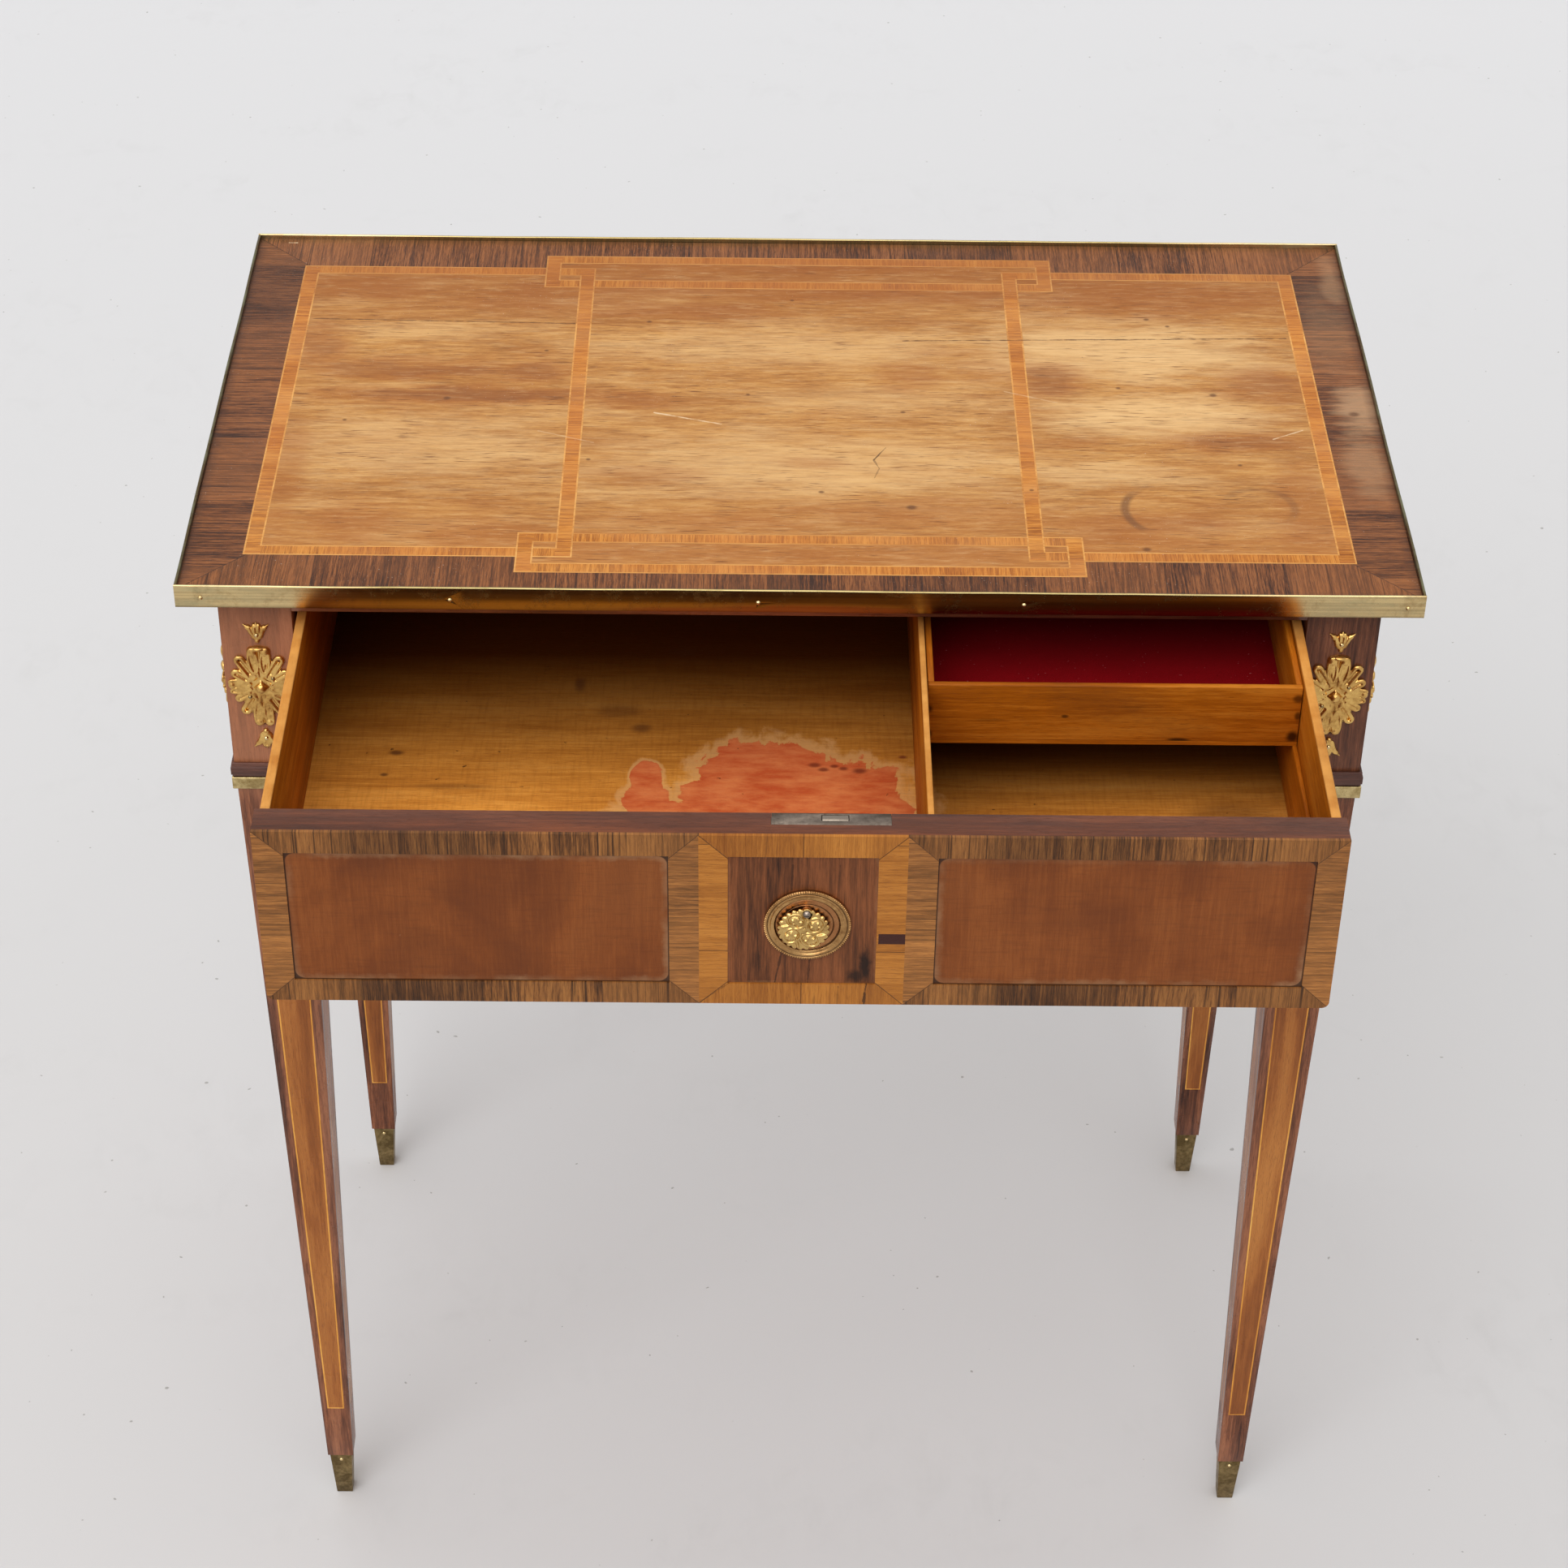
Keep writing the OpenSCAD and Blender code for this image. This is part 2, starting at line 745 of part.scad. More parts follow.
// The dark moulding runs along the two outward faces of each block and meets in a corner
module collar_mouldings() {
    out = moulding_out;
    w = block_w / 2;
    color([0.33, 0.18, 0.13]) for (sx = [-1, 1], sy = [-1, 1])
        translate([sx * leg_x, sy * leg_y, 0]) scale_x(sx) scale_y(sy)
            difference() {
                union() {
                    block([-w, -w, frieze_z], [w + out * 0.7, w + out * 0.7, frieze_z + moulding_h]);
                    block([-w, -w, frieze_z + moulding_h * 0.15],
                        [w + out, w + out, frieze_z + moulding_h * 0.7]);
                }
                block([-w - past, -w - past, frieze_z - past], [w, w, frieze_z + moulding_h + past]);
            }
}

module collar_bands() {
    half = block_w / 2 + collar_out;
    color([0.66, 0.6, 0.42]) at_legs() difference() {
        block([-half, -half, collar_foot], [half, half, collar_top]);
        leg_taper();
    }
}

module collar_drops() {
    face = leg_top_w / 2 - leg_slope * (frieze_z - drop_foot);
    color([0.66, 0.6, 0.42]) at_legs() for (turn = [0 : 90 : 270]) rotate([0, 0, turn])
        difference() {
            translate([0, -face, 0]) rotate([90, 0, 0]) linear_extrude(drop_thick)
                polygon([[-drop_foot_w / 2, drop_foot], [drop_foot_w / 2, drop_foot],
                    [drop_top_w / 2, collar_foot], [-drop_top_w / 2, collar_foot]]);
            leg_taper();
        }
}

module collar_screws() {
    color([0.6, 0.55, 0.4]) at_legs() for (turn = [0 : 90 : 270]) rotate([0, 0, turn])
        translate([0, -block_w / 2 - collar_out, (collar_top + collar_foot) / 2])
            rotate([90, 0, 0]) pin_dome(collar_screw_r);
}

module brass_shoes() {
    color([0.42, 0.36, 0.22]) at_legs() difference() {
        taper(0, shoe_foot_w, shoe_h, shoe_top_w);
        shoe_tongue(glue_gap);
    }
}

// A pin near the top of each shoe on its outward faces
module at_shoe_pins() {
    pin_z = shoe_h * 0.86;
    for (turn = [0, 180]) rotate([0, 0, turn])
        translate([0, -shoe_w(pin_z) / 2 - pin_head_r * 0.05, pin_z])
            rotate([90 + atan(shoe_slope / 2), 0, 0]) children();
}

// Places a mount on the two outward faces of each leg block, its local +Z pointing out
module at_outer_faces() {
    for (sx = [-1, 1], sy = [-1, 1]) {
        translate([sx * leg_x, sy * block_y, 0]) rotate([90, 0, sy < 0 ? 0 : 180]) children();
        translate([sx * block_x, sy * leg_y, 0]) rotate([90, 0, sx * 90]) children();
    }
}

rosette_z = frieze_z + rosette_up;
bell_z = rosette_h / 2 + 1.5;

// Eight-lobed flower with a longer lobe above and below
module rosette() {
    petal = rosette_w * 0.17;
    translate([0, rosette_z, 0]) {
        linear_extrude(rosette_thick) union() {
            circle(r = rosette_w * 0.3);
            for (turn = [0, 180]) rotate(turn) {
                translate([0, rosette_h / 2 - petal * 1.25]) circle(r = petal * 1.25);
                patch([-petal * 0.8, 0], [petal * 0.8, rosette_h / 2 - petal * 1.25]);
            }
            for (turn = [90, -90]) rotate(turn)
                translate([0, rosette_w / 2 - petal]) circle(r = petal);
            for (turn = [40, -40, 140, -140]) rotate(turn) {
                translate([0, rosette_w * 0.47 - petal * 0.2]) circle(r = petal);
                patch([-petal * 0.7, 0], [petal * 0.7, rosette_w * 0.47]);
            }
        }
        translate([0, 0, rosette_thick]) pin_dome(rosette_boss_r);
    }
}

module rosettes() {
    color([0.78, 0.6, 0.3]) at_outer_faces() rosette();
}

// Bellflower with three tips, opening away from the rosette
module bellflower() {
    half = bell_w / 2;
    linear_extrude(bell_thick)
        polygon([[-1.2, 0], [1.2, 0], [half * 0.5, bell_h * 0.3], [half * 0.62, bell_h * 0.62],
            [half, bell_h * 0.86], [half * 0.52, bell_h * 0.84], [half * 0.3, bell_h * 0.78],
            [0, bell_h], [-half * 0.3, bell_h * 0.78], [-half * 0.52, bell_h * 0.84],
            [-half, bell_h * 0.86], [-half * 0.62, bell_h * 0.62], [-half * 0.5, bell_h * 0.3]]);
}

module bellflowers() {
    color([0.78, 0.6, 0.3]) at_outer_faces() translate([0, rosette_z, 0])
        for (turn = [0, 180]) rotate(turn) translate([0, bell_z, 0]) bellflower();
}

module at_mount_pins() {
    for (s = [-1, 1]) translate([0, rosette_z + s * (bell_z + bell_h * 0.4), bell_thick]) children();
}

// Drawer. Its pieces are placed as if closed, then drawn out together.
module drawn_out() {
    translate([0, -drawer_open, 0]) children();
}

module front_outline() {
    difference() {
        patch([-front_half, frieze_z], [front_half, front_top_z]);
        for (s = [-1, 1]) scale_x(s) translate([front_half, frieze_z]) difference() {
            patch([-front_corner_r, -past], [past, front_corner_r]);
            translate([-front_corner_r, front_corner_r]) circle(r = front_corner_r);
        }
    }
}

module left_panel_area() {
    patch([-front_half + crossband_w, panel_low], [centre_left - crossband_w, panel_top]);
}

module right_panel_area() {
    patch([centre_right + crossband_w, panel_low], [front_half - crossband_w, panel_top]);
}

module centre_panel_area() {
    patch([centre_left + centre_strip_w, panel_low], [centre_right - centre_strip_w, panel_top]);
}

// Lays a flat shape on the drawer front's board, standing out by the given depth
module on_front(depth) {
    translate([0, front_core_y, 0]) rotate([90, 0, 0]) linear_extrude(depth) children();
}

module keyhole_shape(grow = 0) {
    translate([keyhole_at, keyhole_z]) {
        circle(r = keyhole_r + grow);
        patch([-keyhole_r / 2 - grow, -keyhole_slot - grow], [keyhole_r / 2 + grow, 0]);
    }
}

// The keyhole's cut, running from before the escutcheon to a depth behind the drawer's face
module keyhole_cut(depth) {
    translate([0, -block_y + depth, 0]) rotate([90, 0, 0])
        linear_extrude(depth + 4 * past) keyhole_shape();
}

module pivot_cut(gap) {
    translate([pivot_x, front_core_y + pivot_l + gap, pivot_z]) rotate([90, 0, 0])
        cylinder(r = pivot_r + gap, h = pivot_l + gap + crossband_thick + 4 * past);
}

module lock_room(grow = 0) {
    low_z = front_top_z - lock_h;
    half = lock_plate.x / 2;
    block([lock_at - half - grow, front_back_y - lock_plate.y - grow, front_top_z - lock_plate.z - grow],
        [lock_at + half + grow, front_back_y + grow, front_top_z + grow]);
    block([lock_at - half - grow, front_back_y - lock_back - grow, low_z - grow],
        [lock_at + half + grow, front_back_y + grow, front_top_z + grow]);
    block([lock_at - lock_box_w / 2 - grow, front_back_y - lock_plate.y - grow, low_z - grow],
        [lock_at + lock_box_w / 2 + grow, front_back_y + grow, front_top_z + grow]);
}

module drawer_front() {
    color([0.42, 0.25, 0.19]) drawn_out() difference() {
        translate([0, front_back_y, 0]) rotate([90, 0, 0])
            linear_extrude(front_thick - crossband_thick) front_outline();
        lock_room(glue_gap);
        keyhole_cut(front_thick + past);
        pivot_cut(glue_gap);
        bottom_room(glue_gap);
    }
}

module drawer_crossbanding() {
    color([0.56, 0.38, 0.22]) drawn_out() on_front(crossband_thick) difference() {
        front_outline();
        left_panel_area();
        right_panel_area();
        patch([centre_left, frieze_z - past], [centre_right, front_top_z + past]);
    }
}

module drawer_panels() {
    color([0.5, 0.28, 0.15]) drawn_out() on_front(crossband_thick - veneer_thick) {
        left_panel_area();
        right_panel_area();
    }
}

module centre_frame() {
    color([0.76, 0.5, 0.24]) drawn_out() on_front(crossband_thick) difference() {
        patch([centre_left, frieze_z], [centre_right, front_top_z]);
        centre_panel_area();
    }
}

module centre_panel() {
    color([0.34, 0.18, 0.12]) drawn_out() difference() {
        on_front(crossband_thick - veneer_thick) centre_panel_area();
        keyhole_cut(front_thick);
        pivot_cut(glue_gap);
    }
}

// The bottom board, let into grooves in the sides and the front
module bottom_room(grow = 0) {
    block([-side_in - groove_d - grow, front_back_y - groove_d - grow, floor_foot_z - grow],
        [side_in + groove_d + grow, drawer_end_y, floor_z + grow]);
}

module drawer_side(s) {
    color([0.72, 0.47, 0.22]) drawn_out() difference() {
        scale_x(s) block([side_in, front_back_y, side_foot_z], [side_out, drawer_end_y, side_top_z]);
        bottom_room(glue_gap);
    }
}

module drawer_side_left() { drawer_side(-1); }
module drawer_side_right() { drawer_side(1); }

module drawer_back() {
    color([0.68, 0.45, 0.22]) drawn_out()
        block([-side_in, back_in_y, floor_z + glue_gap], [side_in, drawer_end_y, side_top_z - side_gap]);
}

module drawer_bottom() {
    color([0.7, 0.48, 0.26]) drawn_out() bottom_room();
}

module drawer_divider() {
    color([0.72, 0.5, 0.26]) drawn_out()
        block([divider_at, front_back_y, floor_z], [divider_right, back_in_y, side_top_z]);
}

module tray_ledges() {
    color([0.7, 0.48, 0.24]) drawn_out() {
        block([divider_right, front_back_y, floor_z],
            [divider_right + ledge_thick, back_in_y, floor_z + ledge_h]);
        block([side_in - ledge_thick, front_back_y, floor_z],
            [side_in, back_in_y, floor_z + ledge_h]);
    }
}

// Round brass plate with a raised rim, a sunk field and a low stand for the cover's pivot
module escutcheon() {
    high = escutcheon_thick + escutcheon_edge;
    color([0.72, 0.5, 0.28]) drawn_out() difference() {
        union() {
            translate([keyhole_at, field_y, keyhole_z]) rotate([90, 0, 0]) rotate_extrude($fn = 96)
                polygon([[0, 0], [escutcheon_r, 0], [escutcheon_r, high * 0.7],
                    [escutcheon_r - high * 0.3, high], [escutcheon_field_r + 2.2, high],
                    [escutcheon_field_r + 1.5, high * 0.72], [escutcheon_field_r, high * 0.9],
                    [escutcheon_field_r - 0.6, escutcheon_thick], [0, escutcheon_thick]]);
            translate([pivot_x, field_y, pivot_z]) rotate([90, 0, 0])
                cylinder(r = 2 * pivot_r, h = high);
        }
        keyhole_cut(front_thick);
        pivot_cut(glue_gap);
    }
}

module cover_pivot_screw() {
    head_y = cover_y - cover_plate - slide_gap;
    color([0.5, 0.46, 0.4]) drawn_out() translate([pivot_x, 0, pivot_z]) {
        translate([0, front_core_y + pivot_l, 0]) rotate([90, 0, 0])
            cylinder(r = pivot_r, h = front_core_y + pivot_l - head_y);
        translate([0, head_y, 0]) rotate([90, 0, 0]) difference() {
            pin_dome(pivot_r * 1.7);
            block([-pivot_r * 2, -0.25, 0.8], [pivot_r * 2, 0.25, 0.8 + past * 2]);
        }
    }
}

// Scalloped round cover that hangs from its pivot screw near its upper edge
module keyhole_cover() {
    lobes = 24;
    color([0.85, 0.68, 0.36]) drawn_out() translate([pivot_x, cover_y, pivot_z])
        rotate([0, cover_turn, 0]) rotate([90, 0, 0]) difference() {
            translate([0, -cover_arm, 0]) {
                linear_extrude(cover_plate) union() {
                    circle(r = cover_r - 0.8);
                    for (i = [0 : lobes - 1]) rotate(i * 360 / lobes)
                        translate([cover_r - 1.8, 0]) circle(r = 1.8, $fn = 20);
                }
                for (turn = [45 : 90 : 315]) rotate(turn) translate([cover_r * 0.52, 0, 0])
                    cylinder(r = cover_r * 0.36, h = cover_thick * 0.85);
                cylinder(r = cover_r * 0.5, h = cover_thick);
            }
            translate([0, 0, -past]) cylinder(r = pivot_r + glue_gap / 2, h = cover_thick + 2 * past);
            translate([0, 0, cover_plate]) cylinder(r = pivot_r * 2.2, h = cover_thick);
        }
}

// The lock: top plate, back plate and box in one, hollow for its bolt
module bolt_room(grow, travel) {
    top_z = front_top_z;
    y1 = front_back_y - lock_back - slide_gap;
    block([bolt_at - bolt_size.x / 2 - grow, y1 - bolt_size.y - grow, top_z - bolt_size.z - grow],
        [bolt_at + bolt_size.x / 2 + grow, y1 + grow, top_z + travel]);
}

module lock_case() {
    color([0.45, 0.44, 0.43]) drawn_out() difference() {
        lock_room();
        bolt_room(slide_gap * 0.8, past);
        keyhole_cut(front_thick - lock_back - past);
        at_lock_screws() translate([0, 0, -past]) cylinder(r = pin_head_r, h = lock_back + 2 * past);
    }
}

module at_lock_screws() {
    x = (lock_plate.x + lock_box_w) / 4;
    for (s = [-1, 1], z = [front_top_z - 12, front_top_z - lock_h + 8])
        translate([lock_at + s * x, front_back_y - lock_back, z]) rotate([-90, 0, 0]) children();
}

module lock_screws() {
    color([0.5, 0.46, 0.4]) drawn_out() at_lock_screws()
        cylinder(r = pin_head_r - glue_gap, h = lock_back);
}

module lock_bolt() {
    color([0.55, 0.54, 0.52]) drawn_out() bolt_room(0, 0);
}

// Loose tray with four walls, a board below them and a cloth lining
module tray_cross_wall(y) {
    color([0.76, 0.5, 0.25]) drawn_out()
        block([tray_left, y, tray_z + tray_floor], [tray_right, y + tray_wall, tray_z + tray_h]);
}

module tray_front() { tray_cross_wall(tray_front_y); }
module tray_back() { tray_cross_wall(tray_back_y - tray_wall); }

module tray_side(x) {
    color([0.74, 0.49, 0.24]) drawn_out()
        block([x, tray_front_y + tray_wall, tray_z + tray_floor],
            [x + tray_wall, tray_back_y - tray_wall, tray_z + tray_h]);
}

module tray_side_left() { tray_side(tray_left); }
module tray_side_right() { tray_side(tray_right - tray_wall); }

module tray_bottom() {
    color([0.7, 0.48, 0.26]) drawn_out()
        block([tray_left, tray_front_y, tray_z], [tray_right, tray_back_y, tray_z + tray_floor]);
}

module tray_lining() {
    low = tray_z + tray_floor;
    color([0.45, 0.05, 0.12]) drawn_out()
        block([tray_left + tray_wall, tray_front_y + tray_wall, low],
            [tray_right - tray_wall, tray_back_y - tray_wall, low + lining_thick]);
}

top_board();
top_border_veneer();
top_field_veneer();
top_crossbands();
top_stringing();
rim_front();
rim_back();
rim_left();
rim_right();
brass_pins();
side_apron_left();
side_apron_right();
back_apron();
apron_crossbanding();
apron_panels();
front_top_rail();
front_low_rail();
runner_left();
runner_right();
kicker_left();
kicker_right();
glue_blocks();
leg_front_left();
leg_front_right();
leg_back_left();
leg_back_right();
leg_inlay_panels();
leg_stringing();
collar_mouldings();
collar_bands();
collar_drops();
collar_screws();
brass_shoes();
rosettes();
bellflowers();
drawer_front();
drawer_crossbanding();
drawer_panels();
centre_frame();
centre_panel();
drawer_side_left();
drawer_side_right();
drawer_back();
drawer_bottom();
drawer_divider();
tray_ledges();
escutcheon();
cover_pivot_screw();
lock_case();
lock_screws();
lock_bolt();
keyhole_cover();
tray_front();
tray_back();
tray_side_left();
tray_side_right();
tray_bottom();
tray_lining();
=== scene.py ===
import json
from contextlib import contextmanager
from math import cos, radians, sin

import bpy
from mathutils import Matrix, Vector, noise

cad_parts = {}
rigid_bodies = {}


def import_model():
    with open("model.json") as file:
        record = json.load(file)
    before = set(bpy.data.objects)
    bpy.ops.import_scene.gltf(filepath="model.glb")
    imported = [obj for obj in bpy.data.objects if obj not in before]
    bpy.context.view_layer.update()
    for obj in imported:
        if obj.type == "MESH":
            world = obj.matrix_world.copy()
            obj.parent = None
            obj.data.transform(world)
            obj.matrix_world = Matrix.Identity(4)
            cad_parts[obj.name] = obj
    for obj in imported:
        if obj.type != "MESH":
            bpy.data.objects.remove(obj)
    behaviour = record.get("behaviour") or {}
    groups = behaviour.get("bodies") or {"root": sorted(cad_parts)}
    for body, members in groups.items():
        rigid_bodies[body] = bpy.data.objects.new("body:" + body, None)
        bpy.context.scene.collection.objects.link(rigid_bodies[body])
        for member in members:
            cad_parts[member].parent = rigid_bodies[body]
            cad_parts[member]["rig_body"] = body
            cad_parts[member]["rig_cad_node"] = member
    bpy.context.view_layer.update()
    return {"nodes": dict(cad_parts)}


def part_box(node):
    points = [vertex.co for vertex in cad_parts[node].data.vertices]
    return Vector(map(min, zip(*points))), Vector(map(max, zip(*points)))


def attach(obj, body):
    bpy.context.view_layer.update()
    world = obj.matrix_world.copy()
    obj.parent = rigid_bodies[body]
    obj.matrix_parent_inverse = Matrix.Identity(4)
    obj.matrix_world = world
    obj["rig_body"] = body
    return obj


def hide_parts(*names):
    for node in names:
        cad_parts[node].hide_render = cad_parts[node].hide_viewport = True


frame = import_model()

nodes = frame["nodes"]

# Floor and studio
# A wide floor of pale grey that runs out of sight, with faint scuffs and a few dark specks. Painted light
# makes it darker near the front, paler far behind the table, and paler right under the table against the
# table's shadow. Two wide soft lamps and a pale sky light the table evenly.
FLOOR_REACH = 9.0
# The near and far tones make a painted light gradient. The under tone is painted light against the table's
# shadow.
FLOOR_NEAR = (211, 210, 210)
FLOOR_UNDER_PAINTED_LIGHT = (223, 222, 223)
FLOOR_FAR = (219, 219, 221)
FLOOR_SCUFF = (186, 185, 184)
FLOOR_SPECK = (150, 147, 143)
BACKDROP = (228, 228, 229)
# The light of the sky, as linear values, and its strength
SKY_LIGHT = (0.96, 0.975, 1.0, 1.0)
SKY_STRENGTH = 0.14
# Each lamp: where it shines from, its strength, how many degrees wide it is, and its colour
LAMPS = dict(lamp_over=((-0.4, -0.5, 3.0), 2.35, 90, (1.0, 0.985, 0.965)),
             lamp_front=((-0.7, -2.0, 1.9), 1.2, 50, (0.97, 0.985, 1.0)))


def sum_of(operation):
    return lambda self, other=0: maths(operation, self, other)


class Wire:
    """What comes out of a shader node: a number, a place or a colour. A sum with it adds a node."""

    def __init__(self, socket):
        self.socket = socket
        self.tree = socket.id_data

    def __rsub__(self, other):
        return maths("SUBTRACT", other, self)

    __add__ = sum_of("ADD")
    __sub__ = sum_of("SUBTRACT")
    __mul__ = sum_of("MULTIPLY")
    __truediv__ = sum_of("DIVIDE")
    __gt__ = sum_of("GREATER_THAN")
    __lt__ = sum_of("LESS_THAN")
    __abs__ = sum_of("ABSOLUTE")


def tone(red, green, blue):
    """A colour as it looks on a screen, 0 to 255, as the linear values that a shader mixes."""
    shares = [c / 255 for c in (red, green, blue)]
    return tuple(c / 12.92 if c < 0.04 else ((c + 0.055) / 1.055) ** 2.4 for c in shares) + (1.0,)


def put(kind, sockets, tree=None, **settings):
    """Adds a shader node beside those that run into it. A colour of three numbers is a screen's colour."""
    tree = tree or next(value.tree for value in sockets.values() if isinstance(value, Wire))
    node = tree.nodes.new("ShaderNode" + kind)
    for name, value in settings.items():
        setattr(node, name, value)
    for key, value in sockets.items():
        socket = node.inputs[key]
        if isinstance(value, Wire):
            tree.links.new(value.socket, socket)
        else:
            on_screen = socket.type == "RGBA" and len(value) == 3
            socket.default_value = tone(*value) if on_screen else value
    return node.outputs


def wired(kind, sockets, output=0, **settings):
    return Wire(put(kind, sockets, **settings)[output])


def maths(operation, a, b=0, output=0, **settings):
    """A sum of two numbers, or of two places."""
    wire = a if isinstance(a, Wire) else b
    kind = "VectorMath" if wire.socket.type == "VECTOR" else "Math"
    return wired(kind, {0: a, 1: b}, output, operation=operation, **settings)


def length(place):
    return wired("VectorMath", {0: place}, "Value", operation="LENGTH")


def strongest(masks):
    total = masks[0]
    for mask in masks[1:]:
        total = maths("MAXIMUM", total, mask)
    return total


def mixed(share, first, second):
    """The second colour laid over the first by a share from 0 to 1."""
    return wired("Mix", {0: share, 6: first, 7: second}, 2, data_type="RGBA")


def remap(value, low, high, to_low=0, to_high=1, **settings):
    return wired("MapRange", {0: value, 1: low, 2: high, 3: to_low, 4: to_high}, **settings)


def patches(place, size, detail=3, rough=0.5, warp=0):
    """Noise from 0 to 1 with so many lumps to the metre, along each axis or along all three."""
    size = size if isinstance(size, (tuple, Wire)) else (size, size, size)
    return wired("TexNoise", {"Vector": place * size, "Scale": 1, "Detail": detail, "Roughness": rough,
                              "Distortion": warp}, "Fac")


def blotched(colour, shade, share, place, size, low, high, detail=3, rough=0.6, warp=0):
    """A colour with patches of a shade, which come in where their noise runs from low to high."""
    return mixed(remap(patches(place, size, detail, rough, warp), low, high, 0, share), colour, shade)


def axes(place):
    """How far a place lies along each axis."""
    return [Wire(socket) for socket in put("SeparateXYZ", {0: place})]


def object_place(tree):
    return wired("TexCoord", {}, "Object", tree=tree)


def new_material(name):
    """An empty material, and the object's coordinates in it."""
    material = bpy.data.materials.new(name)
    material.use_nodes = True
    material.node_tree.nodes.clear()
    return material, object_place(material.node_tree)


def surfaced(material, height, depth, sockets):
    """Ends a material with its main shader and its bumps."""
    bump = wired("Bump", {"Height": height, "Distance": depth, "Strength": 1})
    put("OutputMaterial", {0: wired("BsdfPrincipled", {**sockets, "Normal": bump})})
    return material


def floor_material():
    material, place = new_material("studio_floor")
    # Painted light: darker near the front and paler far off, and paler right under the table against its
    # shadow
    colour = mixed(remap(axes(place)[1], -0.2, 2.6), FLOOR_NEAR, FLOOR_FAR)
    colour = mixed(remap(length(place), 0.1, 0.75, 1, 0), colour, FLOOR_UNDER_PAINTED_LIGHT)
    fine = patches(place, (40, 24, 1), 3, 0.6, 0.6)
    smears = patches(place, (3, 5, 1), 5, 0.62, 1.2)
    colour = mixed(remap(smears, 0.5, 0.75, 0, 0.2) * remap(fine, 0.45, 0.7), colour, FLOOR_SCUFF)
    colour = blotched(colour, FLOOR_SPECK, 0.7, place, (150, 150, 1), 0.79, 0.81, 1, 0.4)
    return surfaced(material, fine, 0.0001, {"Base Color": colour, "Roughness": 0.55,
                                             "Specular IOR Level": 0.25})


@contextmanager
def edit_mode():
    """Edit mode, with all of the mesh selected."""
    bpy.ops.object.mode_set(mode="EDIT")
    bpy.ops.mesh.select_all(action="SELECT")
    yield
    bpy.ops.object.mode_set(mode="OBJECT")


bpy.ops.object.select_all(action="DESELECT")
bpy.ops.mesh.primitive_plane_add(size=2 * FLOOR_REACH)
floor = bpy.context.object
floor.name = "studio_floor"
with edit_mode():
    bpy.ops.mesh.subdivide(number_cuts=1)
floor.data.materials.append(floor_material())

world = bpy.data.worlds.new("studio")
bpy.context.scene.world = world
world.use_nodes = True
sky = world.node_tree
sky.nodes.clear()
rays = put("LightPath", {}, sky)
direct = strongest([Wire(rays["Is %s Ray" % kind]) for kind in ("Camera", "Glossy", "Transmission")])
ambient = wired("Background", {"Color": SKY_LIGHT, "Strength": SKY_STRENGTH}, tree=sky)
backdrop = wired("Background", {"Color": BACKDROP, "Strength": 1}, tree=sky)
put("OutputWorld", {0: wired("MixShader", {0: direct, 1: ambient, 2: backdrop})})

for name, (come_from, strength, spread, colour) in LAMPS.items():
    bpy.ops.object.light_add(type="SUN", location=come_from)
    lamp = bpy.context.object
    lamp.name = name
    lamp.data.energy = strength
    lamp.data.angle = radians(spread)
    lamp.data.color = colour
    lamp.rotation_euler = (-Vector(come_from)).to_track_quat("-Z", "Y").to_euler()

# Camera
# It stands a little left of the table's middle and looks down on it, as the photograph does.
# Its place, tilt and focal length come from a fit to the photograph's corners.
CAMERA_PLACE = (-0.02051, -1.75245, 1.82756)
CAMERA_DOWN = 0.6556
CAMERA_RIGHT = 0.0083
CAMERA_ROLL = 0.0136
FOCAL_PIXELS = 4331.2
FRAME_PIXELS = 1932
SENSOR_MM = 36.0
# Nearer than the first and farther than the second of these, nothing is drawn
CAMERA_SEES = (0.05, 60.0)
onward = Vector((sin(CAMERA_RIGHT), cos(CAMERA_RIGHT), 0))
level = Vector((cos(CAMERA_RIGHT), -sin(CAMERA_RIGHT), 0))
ahead = onward * cos(CAMERA_DOWN) - Vector((0, 0, sin(CAMERA_DOWN)))
upward = level.cross(ahead)
side = level * cos(CAMERA_ROLL) + upward * sin(CAMERA_ROLL)
top = upward * cos(CAMERA_ROLL) - level * sin(CAMERA_ROLL)
bpy.ops.object.camera_add(location=CAMERA_PLACE)
camera = bpy.context.object
camera.matrix_world = Matrix.Translation(CAMERA_PLACE) @ Matrix((side, top, -ahead)).transposed().to_4x4()
camera.data.sensor_width = SENSOR_MM
camera.data.lens = FOCAL_PIXELS / FRAME_PIXELS * SENSOR_MM
camera.data.clip_start, camera.data.clip_end = CAMERA_SEES
bpy.context.scene.camera = camera
bpy.context.scene.view_settings.view_transform = "Standard"

# Legs
# Each leg is one stick of dark rosewood, square in the block and tapered below it, with a smooth old polish.
# The arrises are a little rounded by wear, and the grain runs up the leg.
ARRIS = 0.0005
MERGE_WITHIN = 0.00001
# Faces that meet at less than the first angle are one face, at more than the second they meet in an arris,
# and at less than the third they look like one curve
ONE_FACE = radians(0.5)
SHARP = radians(30)
CURVED = radians(35)
ROSEWOOD = dict(Pale=(178, 116, 80), Middle=(142, 86, 58), Deep=(68, 38, 27))
# Painted light on the front left block and painted shade on the front right one: how much of which shade is
# mixed in above the foot of the block
BLOCK_PAINTED_LIGHT_AND_SHADE = dict(leg_front_left=(0.42, (205, 138, 98)), leg_front_right=(0.32, (52, 28, 17)),
                    leg_back_left=None, leg_back_right=None)
BLOCK_FOOT = (0.6, 0.62)


